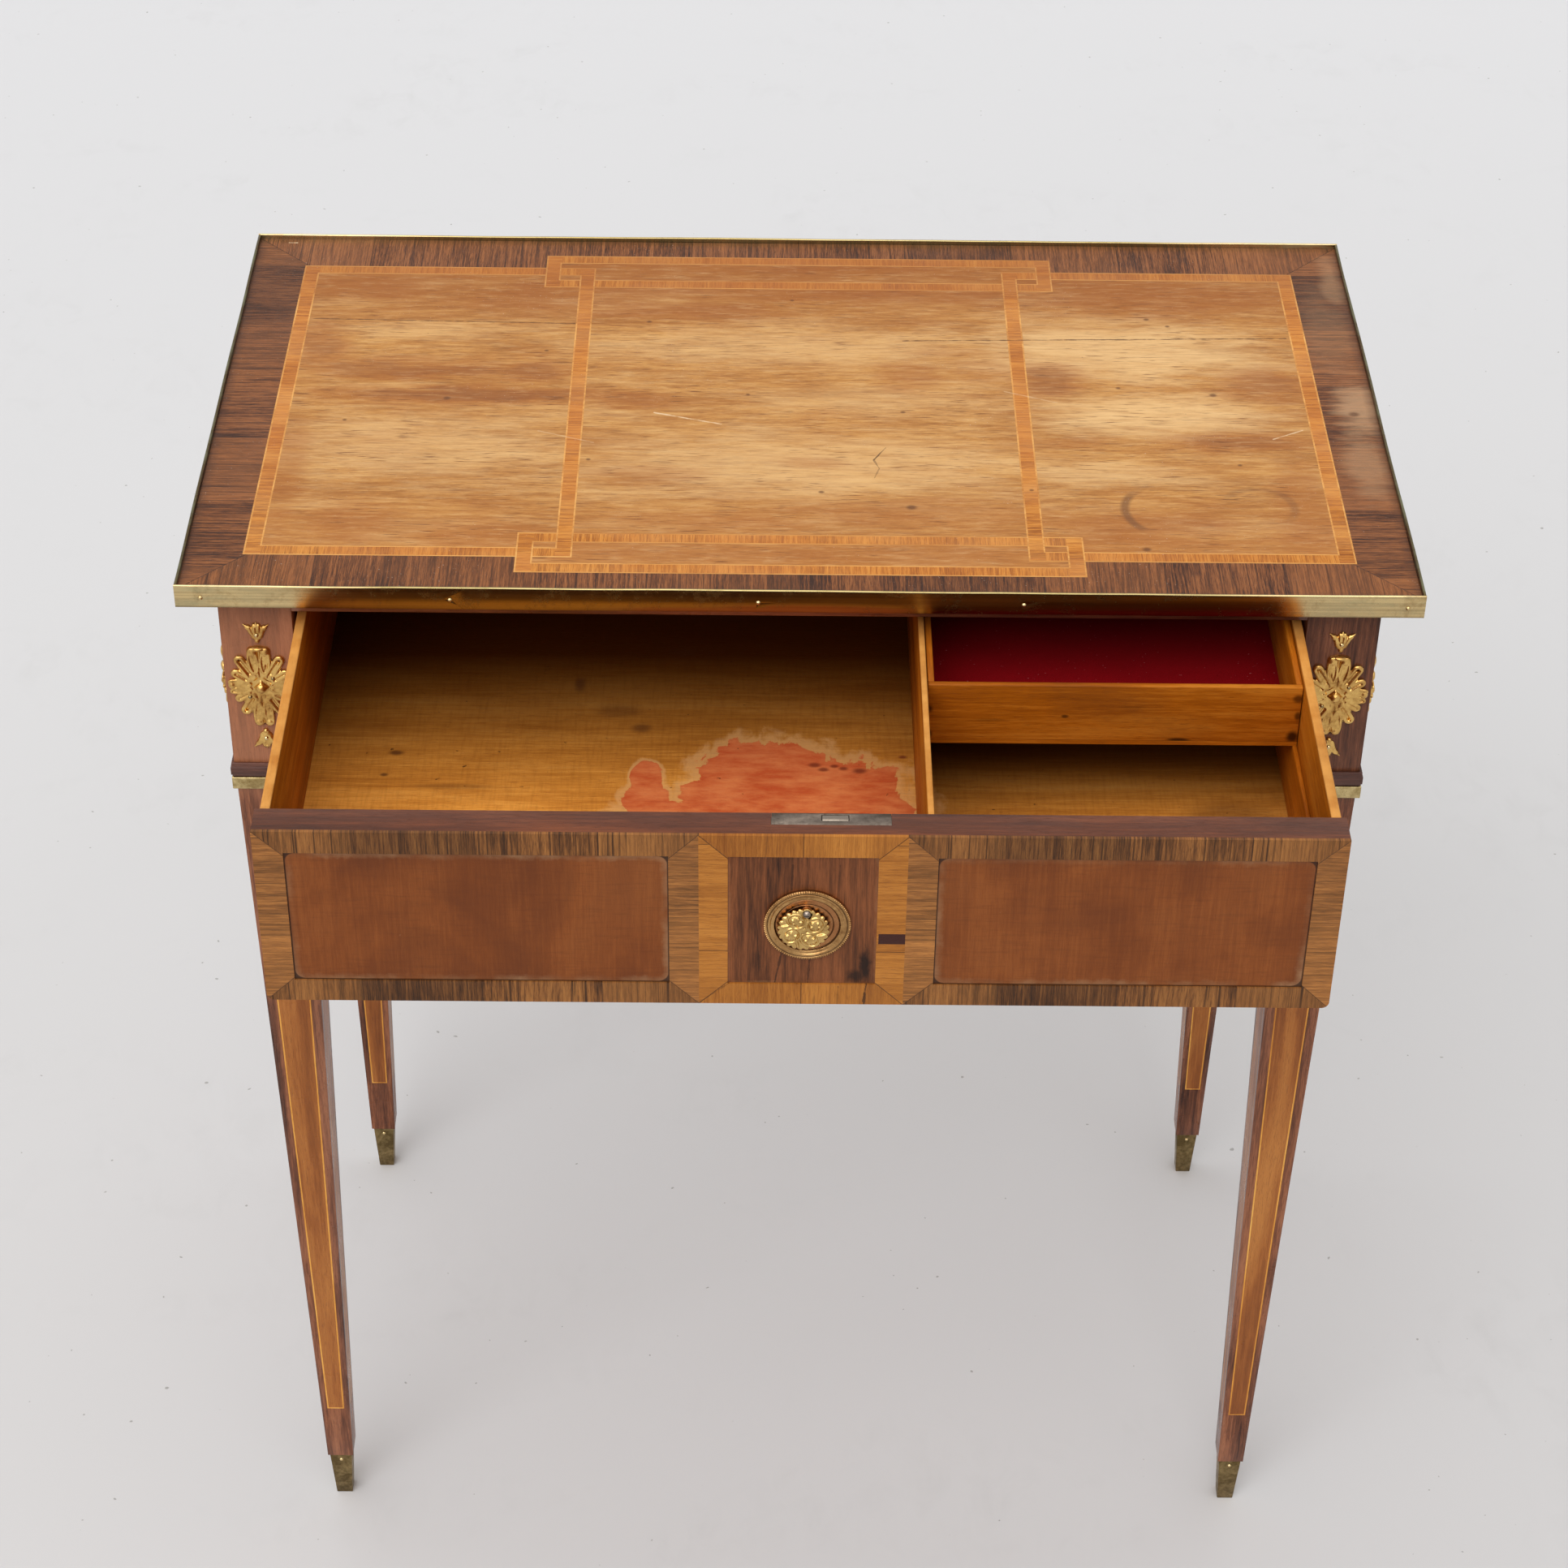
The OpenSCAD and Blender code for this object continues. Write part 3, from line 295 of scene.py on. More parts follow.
def new_group(name, **inputs):
    """An empty shader group and what goes into it. An input is a number, a place or a kind of socket."""
    tree = bpy.data.node_groups.new(name, "ShaderNodeTree")
    for title, start in inputs.items():
        kind = start if isinstance(start, str) else "Vector" if isinstance(start, tuple) else "Float"
        socket = tree.interface.new_socket(name=title.replace("_", " "), in_out="INPUT",
                                           socket_type="NodeSocket" + kind)
        if kind != start:
            socket.default_value = start
    return tree, {socket.name: Wire(socket) for socket in tree.nodes.new("NodeGroupInput").outputs}


def send(tree, **results):
    """Ends a shader group with what it puts out, and gives it back."""
    titles = {name.replace("_", " "): wire.socket for name, wire in results.items()}
    for title, socket in titles.items():
        kind = "Color" if socket.type == "RGBA" else "Float"
        tree.interface.new_socket(name=title, in_out="OUTPUT", socket_type="NodeSocket" + kind)
    end = tree.nodes.new("NodeGroupOutput")
    for title, socket in titles.items():
        tree.links.new(socket, end.inputs[title])
    return tree


def use_group(group, **values):
    """Places a shader group in a material, with its own values, and gives back what it puts out."""
    sockets = {name.replace("_", " "): value for name, value in values.items()}
    return {socket.name: Wire(socket) for socket in put("Group", sockets, node_tree=group)}


def together(x, y, z=0):
    return wired("CombineXYZ", {0: x, 1: y, 2: z})


def wood_grain_group():
    """Long streaks, broad figure and fine pores of sawn wood whose grain runs along the first axis."""
    tree, given = new_group("wood_grain", Along="Vector", Pale="Color", Middle="Color", Deep="Color",
                            Streaks=260, Contrast=1, Figure=1, Pores=0.5)
    wander = (patches(given["Along"], (4, 18, 18), 2) - 0.5) * 0.006
    place = given["Along"] + together(0, wander, wander)
    many = given["Streaks"]
    fine = many * 3.5
    fibre = patches(place, together(fine * 0.06, fine, fine), 3, 0.6)
    streak = patches(place, together(many * 0.035, many, many), 6, 0.68) * 0.65 + fibre * 0.35
    broad = patches(place, (5, 42, 42), 3, 0.55, 0.4)
    shade = (streak - 0.5) * given["Contrast"] + (broad - 0.5) * given["Figure"] + 0.5
    colour = mixed(remap(shade, 0.25, 0.55), given["Deep"], given["Middle"])
    colour = mixed(remap(shade, 0.5, 0.8), colour, given["Pale"])
    pores = remap(patches(place, (150, 2600, 2600), 2, 0.6), 0.56, 0.7) * given["Pores"]
    return send(tree, Colour=mixed(pores, colour, given["Deep"]), Height=streak * 0.3 - pores)


wood_grain = wood_grain_group()


def sawn(along, shades, streaks, contrast, figure, pores):
    """The colour and the height of wood cut along its grain."""
    wood = use_group(wood_grain, Along=along, Streaks=streaks, Contrast=contrast, Figure=figure, Pores=pores,
                     **shades)
    return wood["Colour"], wood["Height"]


def grain_along(place, axis, shift=(0, 0, 0)):
    """The object's coordinates with the grain's axis first, moved so that no two boards look alike."""
    x, y, z = axes(wired("Mapping", {"Vector": place, "Location": shift}))
    return together(*{"X": (x, y, z), "Y": (y, x, z), "Z": (z, x, y)}[axis])


def lacquered(material, colour, height, rough, coat, depth=0.00012, shine=0.16):
    """Ends a wood's material with a thin old polish over it."""
    return surfaced(material, height, depth, {
        "Base Color": colour, "Roughness": rough, "Specular IOR Level": shine, "Coat Weight": coat,
        "Coat Roughness": 0.14})


def plain_wood(name, axis, shades, shift=(0, 0, 0), gloss=0.32, coat=0.1, streaks=260, contrast=1, figure=1,
               block=None):
    """A polished board of one wood with its grain along an axis."""
    material, place = new_material(name)
    colour, height = sawn(grain_along(place, axis, shift), shades, streaks, contrast, figure, 0.5)
    # A block's painted light or painted shade is mixed in above its foot
    if block:
        share, shade = block
        colour = mixed(remap(axes(place)[2], *BLOCK_FOOT, 0, share), colour, shade)
    rough = remap(patches(place, 30, 4, 0.6), 0.3, 0.7, gloss - 0.06, gloss + 0.1)
    return lacquered(material, colour, height, rough, coat)


def body_of(node):
    return nodes[node]["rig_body"]


def select_only(piece):
    bpy.ops.object.select_all(action="DESELECT")
    piece.select_set(True)
    bpy.context.view_layer.objects.active = piece


def apply_modifier(piece, kind, **settings):
    select_only(piece)
    modifier = piece.modifiers.new(kind.lower(), kind)
    for name, value in settings.items():
        setattr(modifier, name, value)
    bpy.ops.object.modifier_apply(modifier=modifier.name)


def give(node, material):
    """Gives a node that stays as it is its finish."""
    nodes[node].data.materials.clear()
    nodes[node].data.materials.append(material)


def settle(piece, node, material):
    """Gives a new piece its finish, and lets it stand for its node."""
    piece.data.materials.clear()
    piece.data.materials.append(material)
    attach(piece, body_of(node))
    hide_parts(node)
    return piece


def eased(node, material, width=ARRIS, rounds=2):
    """A copy of a node's solid with its sharp arrises rounded over."""
    piece = nodes[node].copy()
    piece.data = nodes[node].data.copy()
    piece.name = node + "_eased"
    piece.parent = None
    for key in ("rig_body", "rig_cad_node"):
        if key in piece:
            del piece[key]
    bpy.context.scene.collection.objects.link(piece)
    piece.hide_render = piece.hide_viewport = False
    select_only(piece)
    with edit_mode():
        bpy.ops.mesh.remove_doubles(threshold=MERGE_WITHIN)
        bpy.ops.mesh.dissolve_limited(angle_limit=ONE_FACE)
    apply_modifier(piece, "BEVEL", width=width, segments=rounds, limit_method="ANGLE", angle_limit=SHARP)
    bpy.ops.object.shade_smooth_by_angle(angle=CURVED)
    return settle(piece, node, material)


for i, (name, block) in enumerate(BLOCK_PAINTED_LIGHT_AND_SHADE.items()):
    eased(name, plain_wood(name + "_rosewood", "Z", ROSEWOOD, (0.31 * i, 0.17 * i, 0.4 * i), 0.28, 0.15, 330,
                           1.25, block=block))

# Leg inlays
# Thin panels of lighter, redder veneer are let into all four faces of each leg, framed by strings of pale
# boxwood. Veneer and strings lie flush with the leg.
LEG_PANEL = dict(Pale=(194, 126, 62), Middle=(166, 98, 44), Deep=(122, 66, 28))
BOXWOOD = dict(Pale=(252, 196, 104), Middle=(234, 162, 70), Deep=(184, 110, 40))
give("leg_inlay_panels", plain_wood("leg_panel_veneer", "Z", LEG_PANEL, gloss=0.3, coat=0.12, streaks=210,
                                    contrast=0.9, figure=1.2))
give("leg_stringing", plain_wood("leg_boxwood", "Z", BOXWOOD, gloss=0.34, streaks=500, contrast=0.7))

# Frieze rails, runners and glue blocks
# The hidden work of the carcase is plain oiled pine, sawn and never polished, darkened with age.
# The rail over the drawer is of rosewood because its front edge shows.
PINE = dict(Pale=(186, 138, 86), Middle=(156, 106, 62), Deep=(104, 66, 38))
for i, name in enumerate(["side_apron_left", "side_apron_right"]):
    give(name, plain_wood(name + "_pine", "Y", PINE, (0.3 * i, 0.2, 0.1), 0.55, 0, 150))
for i, name in enumerate(["runner_left", "runner_right", "kicker_left", "kicker_right"]):
    eased(name, plain_wood(name + "_pine", "Y", PINE, (0.4 * i, 0.2, 0.6), 0.5, 0, 170))
for i, name in enumerate(["back_apron", "front_low_rail", "glue_blocks"]):
    give(name, plain_wood(name + "_pine", "X", PINE, (0.2 * i, 0.5, 0.3), 0.55, 0, 160))
eased("front_top_rail", plain_wood("top_rail_rosewood", "X", ROSEWOOD, (0.1, 0.8, 0.2), 0.3, 0.3))

# Frieze veneers
# The back and both ends carry the same work as the drawer front: a plain reddish panel inside a mitred
# border of striped kingwood, laid in short pieces with the grain across the border.
KINGWOOD = dict(Pale=(200, 134, 70), Middle=(150, 94, 48), Deep=(54, 33, 19))
PANEL_SHADES = dict(Pale=(176, 102, 44), Middle=(152, 81, 30), Deep=(114, 54, 15))
GLUE_LINE = (46, 27, 19)
# The end faces begin this far inside the ends' own veneer
END_DEPTH = 0.004


def mitre_group():
    """Tells the side strips of a flat border from its top and bottom ones, and where the mitre lies."""
    tree, given = new_group("mitre", Across=0, Up=0, Half_width=0.1, Half_height=0.1)
    from_side = given["Half width"] - abs(given["Across"])
    from_end = given["Half height"] - abs(given["Up"])
    apart = from_end - from_side
    return send(tree, Side_strip=apart > 0, Seam=remap(abs(apart), 0.00015, 0.0005, 1, 0),
                Edge=maths("MINIMUM", from_side, from_end))


def leaves_group():
    """Splits a border into the short leaves of veneer that it is laid from, each with its own shade."""
    tree, given = new_group("leaves", Along=0, Leaf=0.08, Seed=0)
    steps = given["Along"] / given["Leaf"] + given["Seed"]
    shade = wired("TexWhiteNoise", {"W": maths("FLOOR", steps)}, "Value", noise_dimensions="1D")
    part = maths("FRACT", steps)
    gap = maths("MINIMUM", part, 1 - part) * given["Leaf"]
    return send(tree, Shade=shade, Joint=remap(gap, 0.0001, 0.00035, 1, 0))


mitre = mitre_group()
leaves = leaves_group()


def chosen(share, first, second):
    """The second number where the share is 1, and the first where it is 0."""
    return wired("Mix", {0: share, 2: first, 3: second}, data_type="FLOAT")


def middle_and_half(node):
    """The middle of a node's box, and half its size."""
    low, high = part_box(node)
    return (low + high) / 2, (high - low) / 2


def cross_laid(across, up, half_width, half_height, shades, leaf, streaks, contrast, seed, spread, lined=0.7):
    """Border veneer with its grain across the border: its colour, its height and how far its edge is."""
    corner = use_group(mitre, Across=across, Up=up, Half_width=half_width, Half_height=half_height)
    on_side = corner["Side strip"]
    run = chosen(on_side, across, up) + on_side * 0.37
    pieces = use_group(leaves, Along=run, Leaf=leaf, Seed=seed)
    shade = pieces["Shade"]
    along = together(chosen(on_side, up, across) + shade * 0.7, run, shade * 0.3)
    colour, height = sawn(along, shades, streaks, contrast, 0.8, 0.6)
    colour = mixed(remap(shade, 0, 0.5, spread, 0), colour, shades["Deep"])
    colour = mixed(remap(shade, 0.5, 1, 0, spread), colour, shades["Pale"])
    colour = blotched(colour, shades["Deep"], lined, along, (7, 850, 850), 0.58, 0.68, 2, 0.5)
    seams = strongest([corner["Seam"], pieces["Joint"]])
    return mixed(seams * 0.7, colour, GLUE_LINE), height - seams, corner["Edge"]


def polished(material, colour, height, rough=0.4, coat=0.06, depth=0.00012, shine=0.16):
    """Ends a veneer's material with an old shellac polish, patchy and rubbed."""
    worn = remap(patches(object_place(material.node_tree), 22, 5, 0.62), 0.3, 0.7, rough - 0.07, rough + 0.1)
    return lacquered(material, colour, height, worn, coat, depth, shine)


def frieze_border():
    """One material for three faces: a point near the left or the right is on an end, and else on the back."""
    material, place = new_material("frieze_kingwood")
    x, y, z = axes(place)
    on_end = abs(x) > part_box("apron_panels")[1].x - END_DEPTH
    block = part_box("leg_back_right")[0]
    middle, half = middle_and_half("apron_crossbanding")
    across, wide = chosen(on_end, x, y), chosen(on_end, block.x, block.y)
    colour, height, _ = cross_laid(across, z - middle.z, wide, half.z, KINGWOOD, 0.09, 620, 2, 3, 0.4)
    return polished(material, colour, height, 0.3, 0.1)


give("apron_crossbanding", frieze_border())
give("apron_panels", plain_wood("frieze_panel_veneer", "Z", PANEL_SHADES, (0.2, 0.1, 0.5), 0.36, 0.1, 420,
                                0.7, 0.7))

# Collars, drops and shoes
# A dark moulding and a plain brass band go round the foot of each block, with a splayed brass drop on each
# face, held by a small screw. Each foot stands in a tapered brass shoe, browned by handling and floor polish.
BRASS = dict(Bright=(206, 184, 132), Dull=(150, 126, 80), Grime=(70, 56, 34))
SHOE_BRASS = dict(Bright=(156, 134, 92), Dull=(104, 86, 54), Grime=(52, 42, 28))
MOULDING_SHADES = dict(Pale=(132, 88, 70), Middle=(104, 66, 54), Deep=(58, 34, 28))
MOULDING_ARRIS = 0.0007
COLLAR_ARRIS = 0.0004
DROP_ARRIS = 0.0003
SHOE_ARRIS = 0.0005


def old_metal_group():
    """Cloudy tarnish, fine mottling and dark specks on brass or gilding."""
    tree, given = new_group("old_metal", Place="Vector", Bright="Color", Dull="Color", Grime="Color",
                            Tarnish=0.5, Gloss=0.3)
    mottle = patches(given["Place"], 420, 4, 0.6)
    dull = patches(given["Place"], 60, 5, 0.65, 0.8) + (mottle - 0.5) * 0.5 + (given["Tarnish"] - 0.5)
    grime = remap(patches(given["Place"], 1500, 2), 0.62, 0.72) * remap(dull, 0.4, 0.7)
    colour = mixed(remap(dull, 0.35, 0.65), given["Bright"], given["Dull"])
    return send(tree, Colour=mixed(grime, colour, given["Grime"]),
                Roughness=given["Gloss"] + remap(dull, 0.35, 0.75, -0.05, 0.16), Height=mottle * 0.6 - grime)


old_metal = old_metal_group()


def metallic(material, colour, height, rough, depth):
    return surfaced(material, height, depth, {"Base Color": colour, "Metallic": 1, "Roughness": rough})


def metal(name, shades, tarnish=0.5, gloss=0.3, depth=0.00006):
    material, place = new_material(name)
    skin = use_group(old_metal, Place=place, Tarnish=tarnish, Gloss=gloss, **shades)
    return metallic(material, skin["Colour"], skin["Height"], skin["Roughness"], depth)


collar_brass = metal("collar_brass", BRASS)
eased("collar_mouldings", plain_wood("moulding_rosewood", "X", MOULDING_SHADES, (0.3, 0.3, 0.3), 0.34, 0.3),
      MOULDING_ARRIS, 3)
eased("collar_bands", collar_brass, COLLAR_ARRIS)
eased("collar_drops", collar_brass, DROP_ARRIS)
give("collar_screws", metal("screw_brass", SHOE_BRASS))
eased("brass_shoes", metal("shoe_brass", SHOE_BRASS, 0.55, 0.36), SHOE_ARRIS)

# Top board and its veneers
# The top is a solid board under flush veneers: a pale satinwood field with its grain along the table, cut by
# bands of cross-grained tulipwood between light strings, and a border of dark rosewood laid in short leaves.
# Spills, rings and sun have left it blotched.
FIELD_SHADES = dict(Pale=(214, 162, 94), Middle=(193, 135, 71), Deep=(147, 91, 40))
TULIPWOOD = dict(Pale=(226, 156, 72), Middle=(202, 127, 50), Deep=(142, 79, 28))
TOP_STRING = dict(Pale=(237, 181, 107), Middle=(222, 158, 84), Deep=(182, 116, 54))
BORDER_SHADES = dict(Pale=(156, 98, 56), Middle=(120, 70, 38), Deep=(56, 30, 17))
STAIN_RED = (160, 90, 38)
STAIN_DARK = (116, 76, 47)
FIELD_BLEACHED = (236, 194, 136)
FIELD_PORE = (116, 70, 36)
FIELD_BACK = (150, 84, 30)
FIELD_FRONT = (178, 110, 54)
FLECK_DARK = (160, 102, 50)
FLECK_PALE = (238, 198, 142)
BAND_RED = (196, 116, 58)
BAND_FADED = (222, 168, 104)
BACK_DARKENING = (158, 92, 42)
BORDER_CLOUD = (156, 98, 58)
BORDER_HAZE = (202, 160, 120)
BORDER_GRIME = (70, 44, 32)
SCRATCH_PALE = (236, 206, 166)
CRACK_DARK = (66, 38, 22)
DUST = (228, 214, 196)
DENT_DARK = (96, 58, 34)
# The bands' width, and where their upright runs lie from the middle of the top
BAND_WIDE = 0.0094
FRAME_X = 0.1294
FRAME_Y = 0.1595
TAB_END_X = 0.1508
# Each mark is its middle, its reach and its strength, seen from above in millimetres
DARK_MARKS = [
    (-285, 64, 22, 34, 0.7), (-232, 38, 84, 16, 0.8), (-155, 35, 30, 16, 0.75), (-200, 9, 110, 13, 0.9),
    (-100, 6, 38, 14, 0.65), (67, 35, 26, 20, 0.6), (108, 40, 26, 16, 0.35), (147, 31, 28, 24, 0.8),
    (277, 25, 36, 24, 0.7), (258, -35, 54, 13, 0.8), (281, -84, 20, 44, 0.55), (190, -124, 56, 24, 0.6),
    (284, -127, 26, 26, 0.6), (-40, -122, 70, 13, 0.5), (70, -112, 120, 18, 0.45), (-245, -124, 30, 24, 0.5),
    (-172, -138, 60, 18, 0.45), (-289, -72, 14, 64, 0.5), (-74, 108, 76, 14, 0.6), (-262, 135, 40, 20, 0.6),
    (10, 134, 220, 18, 0.6), (212, 126, 110, 24, 0.6), (5, -62, 26, 7, 0.4), (-90, -77, 42, 14, 0.45),
    (90, 63, 34, 6, 0.35), (160, -37, 32, 8, 0.4), (-155, 120, 70, 20, 0.5), (20, -152, 260, 12, 0.3),
    (0, 166, 150, 12, 0.6)]
PALE_MARKS = [
    (190, 66, 110, 44, 0.9), (205, -8, 96, 28, 0.95), (0, -66, 160, 42, 0.6), (-10, 66, 150, 26, 0.5),
    (-215, -48, 110, 44, 0.5), (-230, 82, 66, 12, 0.45), (40, 4, 90, 22, 0.35), (170, -72, 70, 16, 0.6)]
HAZE_MARKS = [(326, 2, 18, 36, 0.6), (322, -62, 16, 40, 0.35), (318, 92, 20, 60, 0.15),
              (328, 148, 10, 40, 0.3)]
# A ring shows only where the cup stood in the wet: its middle and radius, then that part's middle and reach,
# and its strength. Its line is full to the first distance, and gone at the second.
RING_MARKS = [(208, -107, 27, 181, -107, 30, 0.7), (256, -105, 20, 276, -100, 22, 0.35),
              (256, -105, 20, 244, -88, 16, 0.3)]
RING_LINE = (0.0012, 0.0034)
# Each line is its two ends and its strength, and each dent its middle and its radius
SCRATCHES = [(-84, -9, -45, -21, 0.8), (272, -32, 290, -22, 0.6), (120, 18, 150, 6, 0.3),
             (-150, -30, -118, -42, 0.3), (-317, 188, -312, 188, 1)]
CRACKS = [(49, -45, 42, -58, 0.8), (42, -58, 45, -67, 0.5), (45, -67, 42, -77, 0.4),
          (-292, 95, -135, 92, 0.65), (62, 75, 292, 82, 0.75), (-120, 66, -20, 67, 0.25)]
LINE_WIDE = 0.0005
DENTS = [(-90, 95, 2.2), (-205, 5, 2.8), (60, -6, 2), (62, -107, 3.6), (190, -147, 3.2), (210, 103, 2),
         (242, 16, 2.6), (187, 23, 2), (222, 95, 1.8), (-30, 12, 1.6), (-120, -60, 1.8), (12, -92, 2),
         (-262, -20, 1.6), (130, -88, 1.6), (250, -60, 1.8), (322, -4, 4), (-150, 60, 1.8), (-4, 122, 1.6)]
MM = 0.001
# Leaves the height out of a place, so that a mark lies flat on the top
FLAT = (1, 1, 0)


def soft_spot_group():
    """A ragged stain: 1 in its middle and 0 past its reach."""
    tree, given = new_group("soft_spot", Place="Vector", Middle="Vector", Reach="Vector", Lumps=(20, 80, 80),
                            Ragged=1.7)
    far = length((given["Place"] - given["Middle"]) / given["Reach"])
    ragged = (patches(given["Place"], given["Lumps"], 5, 0.62, 0.4) - 0.5) * given["Ragged"]
    return send(tree, Share=remap(far + ragged, 0.3, 1.15, 1, 0, interpolation_type="SMOOTHSTEP"))


def scratch_group():
    """1 on a straight line between two points and 0 past its width, with a broken edge."""
    tree, given = new_group("scratch", Place="Vector", From="Vector", To="Vector", Width=0.0004)
    run = given["To"] - given["From"]
    away = given["Place"] - given["From"]
    along, whole = maths("DOT_PRODUCT", away, run, "Value"), maths("DOT_PRODUCT", run, run, "Value")
    share = maths("DIVIDE", along, whole, use_clamp=True)
    off = length(away - wired("VectorMath", {0: run, "Scale": share}, operation="SCALE"))
    waver = (patches(given["Place"], 160, 3, 0.6) - 0.5) * 0.002
    return send(tree, Share=remap(abs(off + waver) / given["Width"], 0.5, 1.2, 1, 0))


soft_spot = soft_spot_group()
scratch = scratch_group()


def spots(place, marks, **look):
    return strongest([use_group(soft_spot, Place=place, Middle=(x * MM, y * MM, 0),
                                Reach=(reach_x * MM, reach_y * MM, 1), **look)["Share"] * strength
                      for x, y, reach_x, reach_y, strength in marks])


def lines(place, marks, width=LINE_WIDE):
    return strongest([use_group(scratch, Place=place, From=(x0 * MM, y0 * MM, 0), To=(x1 * MM, y1 * MM, 0),
                                Width=width)["Share"] * strength
                      for x0, y0, x1, y1, strength in marks])


def rings(place):
    """Faint round marks left by cups."""
    masks = []
    for x, y, radius, part_x, part_y, reach, strength in RING_MARKS:
        off = abs(length(place - (x * MM, y * MM, 0)) - radius * MM)
        masks.append(remap(off, *RING_LINE, 1, 0) * spots(place, [(part_x, part_y, reach, reach, strength)]))
    return strongest(masks)


def top_wear(colour, amount=1):
    """The marks that lie over all the veneers of the top alike."""
    place = object_place(colour.tree) * FLAT
    colour = mixed(rings(place) * amount, colour, STAIN_DARK)
    colour = mixed(lines(place, SCRATCHES), colour, SCRATCH_PALE)
    colour = mixed(lines(place, CRACKS), colour, CRACK_DARK)
    drift = remap(patches(place, (14, 14, 1), 3, 0.6), 0.45, 0.7)
    dusty = remap(patches(place, (900, 900, 1), 1, 0.4), 0.73, 0.76) * drift
    colour = mixed(dusty * 0.55, colour, DUST)
    dents = spots(place, [(x, y, reach, reach * 0.8, 1) for x, y, reach in DENTS], Ragged=0.5)
    colour = mixed(dents * 0.75, colour, DENT_DARK)
    return blotched(colour, DENT_DARK, 0.6, place, (300, 460, 1), 0.75, 0.8, 2, 0.5)


def darkened_at_back(colour):
    """Darkens the strip at the back."""
    return mixed(remap(axes(object_place(colour.tree))[1], 0.1, 0.15, 0, 0.45), colour, BACK_DARKENING)


def field_material():
    material, place = new_material("field_satinwood")
    y = axes(place)[1]
    along = grain_along(place, "X", (0.4, 0.1, 0)) * (2.2, 1, 1)
    colour, height = sawn(along, FIELD_SHADES, 430, 1.2, 0.45, 0.22)
    place = place * FLAT
    drift = patches(place, (11, 60, 1), 8, 0.7, 0.5)
    threads = patches(place, (26, 620, 1), 4, 0.64)
    flecks = patches(place, (46, 300, 1), 6, 0.72)
    colour = mixed(remap(drift, 0.5, 0.72, 0, 0.4), colour, STAIN_RED)
    colour = mixed(remap(drift, 0.5, 0.3, 0, 0.35), colour, FIELD_BLEACHED)
    colour = mixed(spots(place, PALE_MARKS) * remap(threads, 0.3, 0.7, 1, 0.55), colour, FIELD_BLEACHED)
    stain = spots(place, DARK_MARKS) * remap(threads, 0.3, 0.7, 0.6, 1)
    colour = mixed(stain, colour, STAIN_RED)
    colour = mixed(remap(stain, 0.45, 0.85, 0, 0.5), colour, STAIN_DARK)
    colour = mixed(remap(y, 0.085, 0.14) * remap(drift, 0.3, 0.6, 0.4, 0.75), colour, FIELD_BACK)
    colour = mixed(remap(y, -0.09, -0.165) * 0.48, colour, FIELD_FRONT)
    colour = mixed(remap(flecks, 0.52, 0.7, 0, 0.36), colour, FLECK_DARK)
    colour = mixed(remap(flecks, 0.48, 0.32, 0, 0.26), colour, FLECK_PALE)
    grouped = remap(patches(place, (16, 40, 1), 3, 0.6), 0.4, 0.62, 0.25, 0.95)
    colour = mixed(remap(patches(place, (60, 900, 1), 2, 0.55), 0.58, 0.68) * grouped, colour, FIELD_PORE)
    return polished(material, top_wear(colour), height, 0.42, depth=0.0001)


def band_material():
    """The grain lies across each band. Upright bands are told from level ones by where they are."""
    material, place = new_material("tulipwood_bands")
    x, y, _ = axes(place)
    ends = abs(x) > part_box("top_stringing")[1].x - BAND_WIDE
    in_frame = (abs(abs(x) - FRAME_X) < BAND_WIDE / 2) * (abs(y) < FRAME_Y)
    tab_ends = abs(abs(x) - TAB_END_X) < BAND_WIDE / 2
    upright = strongest([ends, in_frame, tab_ends])
    run = chosen(upright, x, y)
    pieces = use_group(leaves, Along=run, Leaf=0.052, Seed=7)
    along = together(chosen(upright, y, x) + pieces["Shade"], run)
    colour, height = sawn(along, TULIPWOOD, 700, 1.9, 0.7, 0.4)
    colour = mixed(remap(pieces["Shade"], 0, 1, 0, 0.35), colour, BAND_RED)
    place = place * FLAT
    colour = blotched(colour, BAND_FADED, 0.3, place, (8, 30, 1), 0.45, 0.7, 4)
    colour = mixed(spots(place, DARK_MARKS) * 0.4, colour, STAIN_RED)
    return polished(material, top_wear(darkened_at_back(colour), 0.5), height)


def string_material():
    material, place = new_material("top_boxwood")
    colour, height = sawn(grain_along(place, "X", (0.1, 0.1, 0.1)), TOP_STRING, 500, 0.9, 1, 0.5)
    return polished(material, top_wear(darkened_at_back(colour), 0.5), height)


def top_border_material():
    material, place = new_material("border_rosewood")
    x, y, _ = axes(place)
    _, half = middle_and_half("top_board")
    colour, height, edge = cross_laid(x, y, half.x, half.y, BORDER_SHADES, 0.066, 760, 2.7, 11, 0.36)
    place = place * FLAT
    colour = blotched(colour, BORDER_CLOUD, 0.3, place, (16, 16, 1), 0.52, 0.75, 4, 0.6, 0.5)
    colour = mixed(spots(place, HAZE_MARKS), colour, BORDER_HAZE)
    colour = mixed(remap(edge, 0, 0.006, 0.7, 0) * 0.8, colour, BORDER_GRIME)
    return polished(material, top_wear(colour, 0.5), height, 0.38, 0.08, 0.00015)


give("top_board", plain_wood("board_pine", "X", PINE, (0.7, 0.1, 0.2), 0.5, 0, 150))
give("top_field_veneer", field_material())
give("top_crossbands", band_material())
give("top_stringing", string_material())
give("top_border_veneer", top_border_material())
